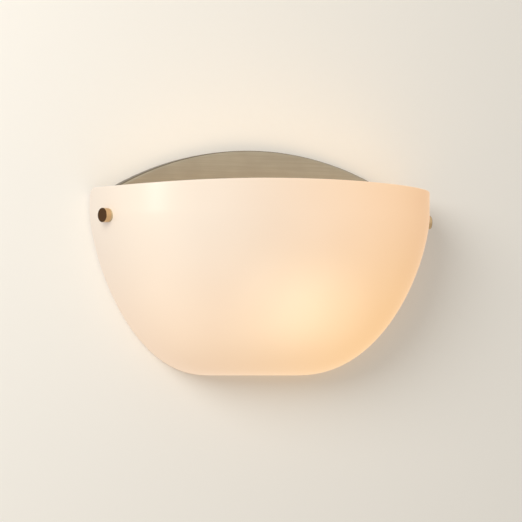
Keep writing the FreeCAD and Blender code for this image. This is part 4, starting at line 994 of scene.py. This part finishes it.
MAT_LOW, MAT_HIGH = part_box("insulation_pad")
MAT_CORNER, MAT_HOLE = 8 * MM, 6.9 * MM
MAT_EDGE, MAT_PRESSED = 4 * MM, 0.9 * MM
LUMP_SIZE, LUMP_HEIGHT = 9 * MM, 0.35 * MM
MAT_THICKNESS = MAT_HIGH.y - MAT_LOW.y
CELL = 2 * MM
half_wide, half_high = MAT_HIGH.x, MAT_HIGH.z
bm = bmesh.new()
bmesh.ops.create_grid(bm, x_segments=round(2 * half_wide / CELL),
                      y_segments=round(2 * half_high / CELL), size=1)
bmesh.ops.scale(bm, verts=bm.verts, vec=(half_wide, half_high, 1))
hole = Vector((0, -GROMMET_HEIGHT, 0))       # the turn below sends the grid's +Y down
inside = [face for face in bm.faces if (face.calc_center_median() - hole).length < MAT_HOLE]
bmesh.ops.delete(bm, geom=inside, context="FACES")
for spot in bm.verts:
    if spot.is_boundary and (spot.co - hole).length < 1.6 * MAT_HOLE:
        spot.co = hole + (spot.co - hole).normalized() * MAT_HOLE
    turn_centre = Vector((math.copysign(half_wide - MAT_CORNER, spot.co.x),
                          math.copysign(half_high - MAT_CORNER, spot.co.y), 0))
    away = spot.co - turn_centre
    beyond = abs(spot.co.x) > abs(turn_centre.x) and abs(spot.co.y) > abs(turn_centre.y)
    if beyond and away.length > MAT_CORNER:
        spot.co = turn_centre + away.normalized() * MAT_CORNER
made = bmesh.ops.extrude_face_region(bm, geom=list(bm.faces), use_keep_orig=True)["geom"]
free_side = [item for item in made if isinstance(item, bmesh.types.BMVert)]
for spot in free_side:
    edge = min(half_wide - abs(spot.co.x), half_high - abs(spot.co.y),
               (spot.co - hole).length - MAT_HOLE)
    pressed = MAT_PRESSED * max(1 - max(edge, 0) / MAT_EDGE, 0) ** 2
    lumps = LUMP_HEIGHT * (0.5 + 0.5 * noise_at(spot.co / LUMP_SIZE))
    spot.co.z = MAT_THICKNESS - pressed - lumps
bmesh.ops.transform(bm, matrix=Matrix.Translation((0, MAT_LOW.y, 0))
                    @ Matrix.Rotation(math.radians(-90), 4, "X"), verts=bm.verts)
bmesh.ops.recalc_face_normals(bm, faces=bm.faces)
if bm.calc_volume(signed=True) < 0:
    bmesh.ops.reverse_faces(bm, faces=bm.faces)
mat = make_piece("fibre_mat", bm, fibre_mat(), "fixture", "insulation", "insulation_pad")

# %% [markdown]
# ## The screw shell and the lamp's cap
#
# The cap of the lamp is thin sheet with a coarse rolled thread, seven turns to the inch, and the
# shell in the lampholder has the same wave. Both are turned from one profile and then pressed by
# the thread helper. The cap turns with the lamp, the shell stays in the porcelain.

# %% Rolled threads
ROLLED_PITCH = 25.4 / 7
SHELL_START = HOLDER_BACK + 8 * MM
SHELL_RADIUS, SHELL_RIM, SHELL_WAVE, SHELL_THREAD = 13.55, 28.0, 0.35, (3.0, 25.0)
shell_profile = ([(6.5, 0), (13.2, 0)]
                 + along(SHELL_RADIUS, 0.4, SHELL_RIM, ROLLED_PITCH / 10))
shell = cut_thread(turned(shell_profile, 72), *SHELL_THREAD, ROLLED_PITCH, SHELL_WAVE,
                   rolled=True)
shell = make_piece("screw_shell", set_on(shell, (SHELL_START, LAMP_Y, LAMP_Z), LAMP_AXIS),
                   BRASS, "fixture", "brass_part", "lampholder_shell")
in_sheet(shell, 0.08)

CAP_RADIUS, CAP_RIM, CAP_WAVE, CAP_THREAD = 13.0, 27.0, 0.55, (9.2, 25.0)
cap_profile = ([(10.4, 6.5), (12.6, 8.6)]
               + along(CAP_RADIUS, CAP_THREAD[0], CAP_RIM, ROLLED_PITCH / 10))
cap = cut_thread(turned(cap_profile, 72), *CAP_THREAD, ROLLED_PITCH, CAP_WAVE, rolled=True)
cap = make_piece("lamp_screw_cap", set_on(cap, LAMP_SPOT, LAMP_AXIS), ALUMINIUM, "lamp",
                 "cap_aluminium", "lamp_cap")
in_sheet(cap, 0.35)

TIP_DOME = (4.5, 1.5)
tip = turned(dome(*TIP_DOME)[::-1] + [(0, 0)], 32)
make_piece("solder_tip", set_on(tip, LAMP_SPOT + LAMP_AXIS * TIP_DOME[1] * MM, -LAMP_AXIS),
           SOLDER, "lamp_tip", "brass_part", "lamp_contact")

# %% [markdown]
# ## The bulb
#
# The bulb is blown glass, frosted inside. Its outline is a straight neck, a hollow curve that
# turns outwards, and three quarters of a circle. Frosting spreads the filament's light over the
# whole globe, so it is drawn as a milky body that glows, a little stronger round its middle than
# near the neck. The filament and its two wires stand inside, where the frost hides them.

# %% Frosted glass
GLOW_END = 62 * MM


def frosted_glass():
    """Blown soda glass, frosted: an even warm glow that fades towards the neck."""
    material, tree, shader = new_material("frosted glass, blown", IOR=1.5, Emission_Strength=0.85)
    place = place_in(tree)
    haze, frost, wave = [add_node(tree, "TexNoise", {
        "Vector": place, "Scale": 1 / (size * MM), "Detail": detail})
        for size, detail in ((30, 1.0), (2, 2.0), (18, 0.0))]
    body = add_node(tree, "Mix", {"Factor": haze, "A": "#E4D8C2", "B": "#EADFCB"}, data_type="RGBA")
    away = add_node(tree, "VectorMath", {0: place, 1: GLOBE_CENTRE}, operation="DISTANCE")
    neck = add_node(tree, "MapRange", {
        "Value": away, "From Min": GLOBE_RADIUS, "From Max": GLOW_END},
        interpolation_type="SMOOTHSTEP")
    glow = add_node(tree, "Mix", {"Factor": neck, "A": "#FFE3B4", "B": "#B99C72"}, data_type="RGBA")
    rough = add_node(tree, "MapRange", {"Value": frost, "To Min": 0.28, "To Max": 0.36})
    normal = add_node(tree, "Bump", {"Height": wave, "Distance": 0.05 * MM})
    feed(shader, {"Base Color": body, "Emission Color": glow, "Roughness": rough,
                  "Normal": normal})
    return material


def arc(centre, radius, start, end, steps):
    """Profile points on a circle, between two angles in radians."""
    return [(centre[0] + radius * math.cos(start + (end - start) * n / steps),
             centre[1] + radius * math.sin(start + (end - start) * n / steps))
            for n in range(steps + 1)]


NECK_RADIUS, NECK_TOP, SWELL = 13.2, 33.0, 16.0
globe = GLOBE_RADIUS / MM
middle = LAMP_LENGTH / MM - globe
down = middle - NECK_TOP
join = math.acos(globe / math.hypot(NECK_RADIUS, down)) - math.atan2(down, NECK_RADIUS)
lean = -join                                # the cone's lean from upright is the join's angle
reach = SWELL * math.tan(lean / 2)
bulb_profile = ([(12.6, 21.0), (12.6, 27.0), (NECK_RADIUS, 28.0)]
                + arc((NECK_RADIUS + SWELL, NECK_TOP - reach), SWELL, math.pi, math.pi - lean, 10)
                + arc((0, middle), globe, join, math.pi / 2, 40))
bulb_profile[-1] = (0, middle + globe)
print("bulb's cone leans %.1f degrees" % math.degrees(lean))
bulb = make_piece("frosted_bulb", set_on(turned(bulb_profile, 96), LAMP_SPOT, LAMP_AXIS),
                  frosted_glass(), "lamp", "frosted_glass", "lamp_envelope")
in_sheet(bulb, 1.0)
lamp_light.parent = bulb        # the glow goes with the bulb when the lamp is unscrewed

# %% [markdown]
# ## The filament
#
# The filament is fine tungsten wire wound into a coil, which hangs between two straight wires. A
# small ring is spun many times round the axis while it climbs, which draws the coil in one step.

# %% Filament
COIL_HALF, COIL_HEIGHT, COIL_RADIUS, WIRE_RADIUS = 13.5, 75.0, 0.62, 0.16
COIL_TURNS, COIL_STEPS = 36, 12
LEAD_FOOT, LEAD_APART, LEAD_RADIUS = 52.0, 1.5, 0.3


def wire(start, end, radius):
    """A straight wire between two points in millimetres on the lamp's own axes."""
    start, end = Vector(start), Vector(end)
    bm = turned([(0, 0), (radius, 0), (radius, (end - start).length), (0, (end - start).length)],
                12)
    return set_on(bm, start * MM, end - start)


coil = bmesh.new()
bmesh.ops.create_circle(coil, segments=6, radius=WIRE_RADIUS * MM, matrix=(
    Matrix.Translation((COIL_RADIUS * MM, 0, -COIL_HALF * MM))
    @ Matrix.Rotation(math.pi / 2, 4, "X")))
bmesh.ops.spin(coil, geom=coil.verts[:] + coil.edges[:], cent=(0, 0, 0), axis=(0, 0, 1),
               angle=2 * math.pi * COIL_TURNS, steps=COIL_TURNS * COIL_STEPS,
               dvec=(0, 0, 2 * COIL_HALF * MM / (COIL_TURNS * COIL_STEPS)))
bmesh.ops.holes_fill(coil, edges=coil.edges, sides=0)
bmesh.ops.recalc_face_normals(coil, faces=coil.faces)
set_on(coil, (0, 0, COIL_HEIGHT * MM), (1, 0, 0))
filament = joined([coil] + [
    wire((side * LEAD_APART, 0, LEAD_FOOT), (side * COIL_HALF, 0, COIL_HEIGHT), LEAD_RADIUS)
    for side in (-1, 1)])
bmesh.ops.rotate(filament, verts=filament.verts, cent=(0, 0, 0),
                 matrix=Matrix.Rotation(math.pi / 2, 3, "Y"))
bmesh.ops.translate(filament, verts=filament.verts, vec=LAMP_SPOT)
make_piece("filament_coil", filament, TUNGSTEN, "lamp", "tungsten", "lamp_filament")
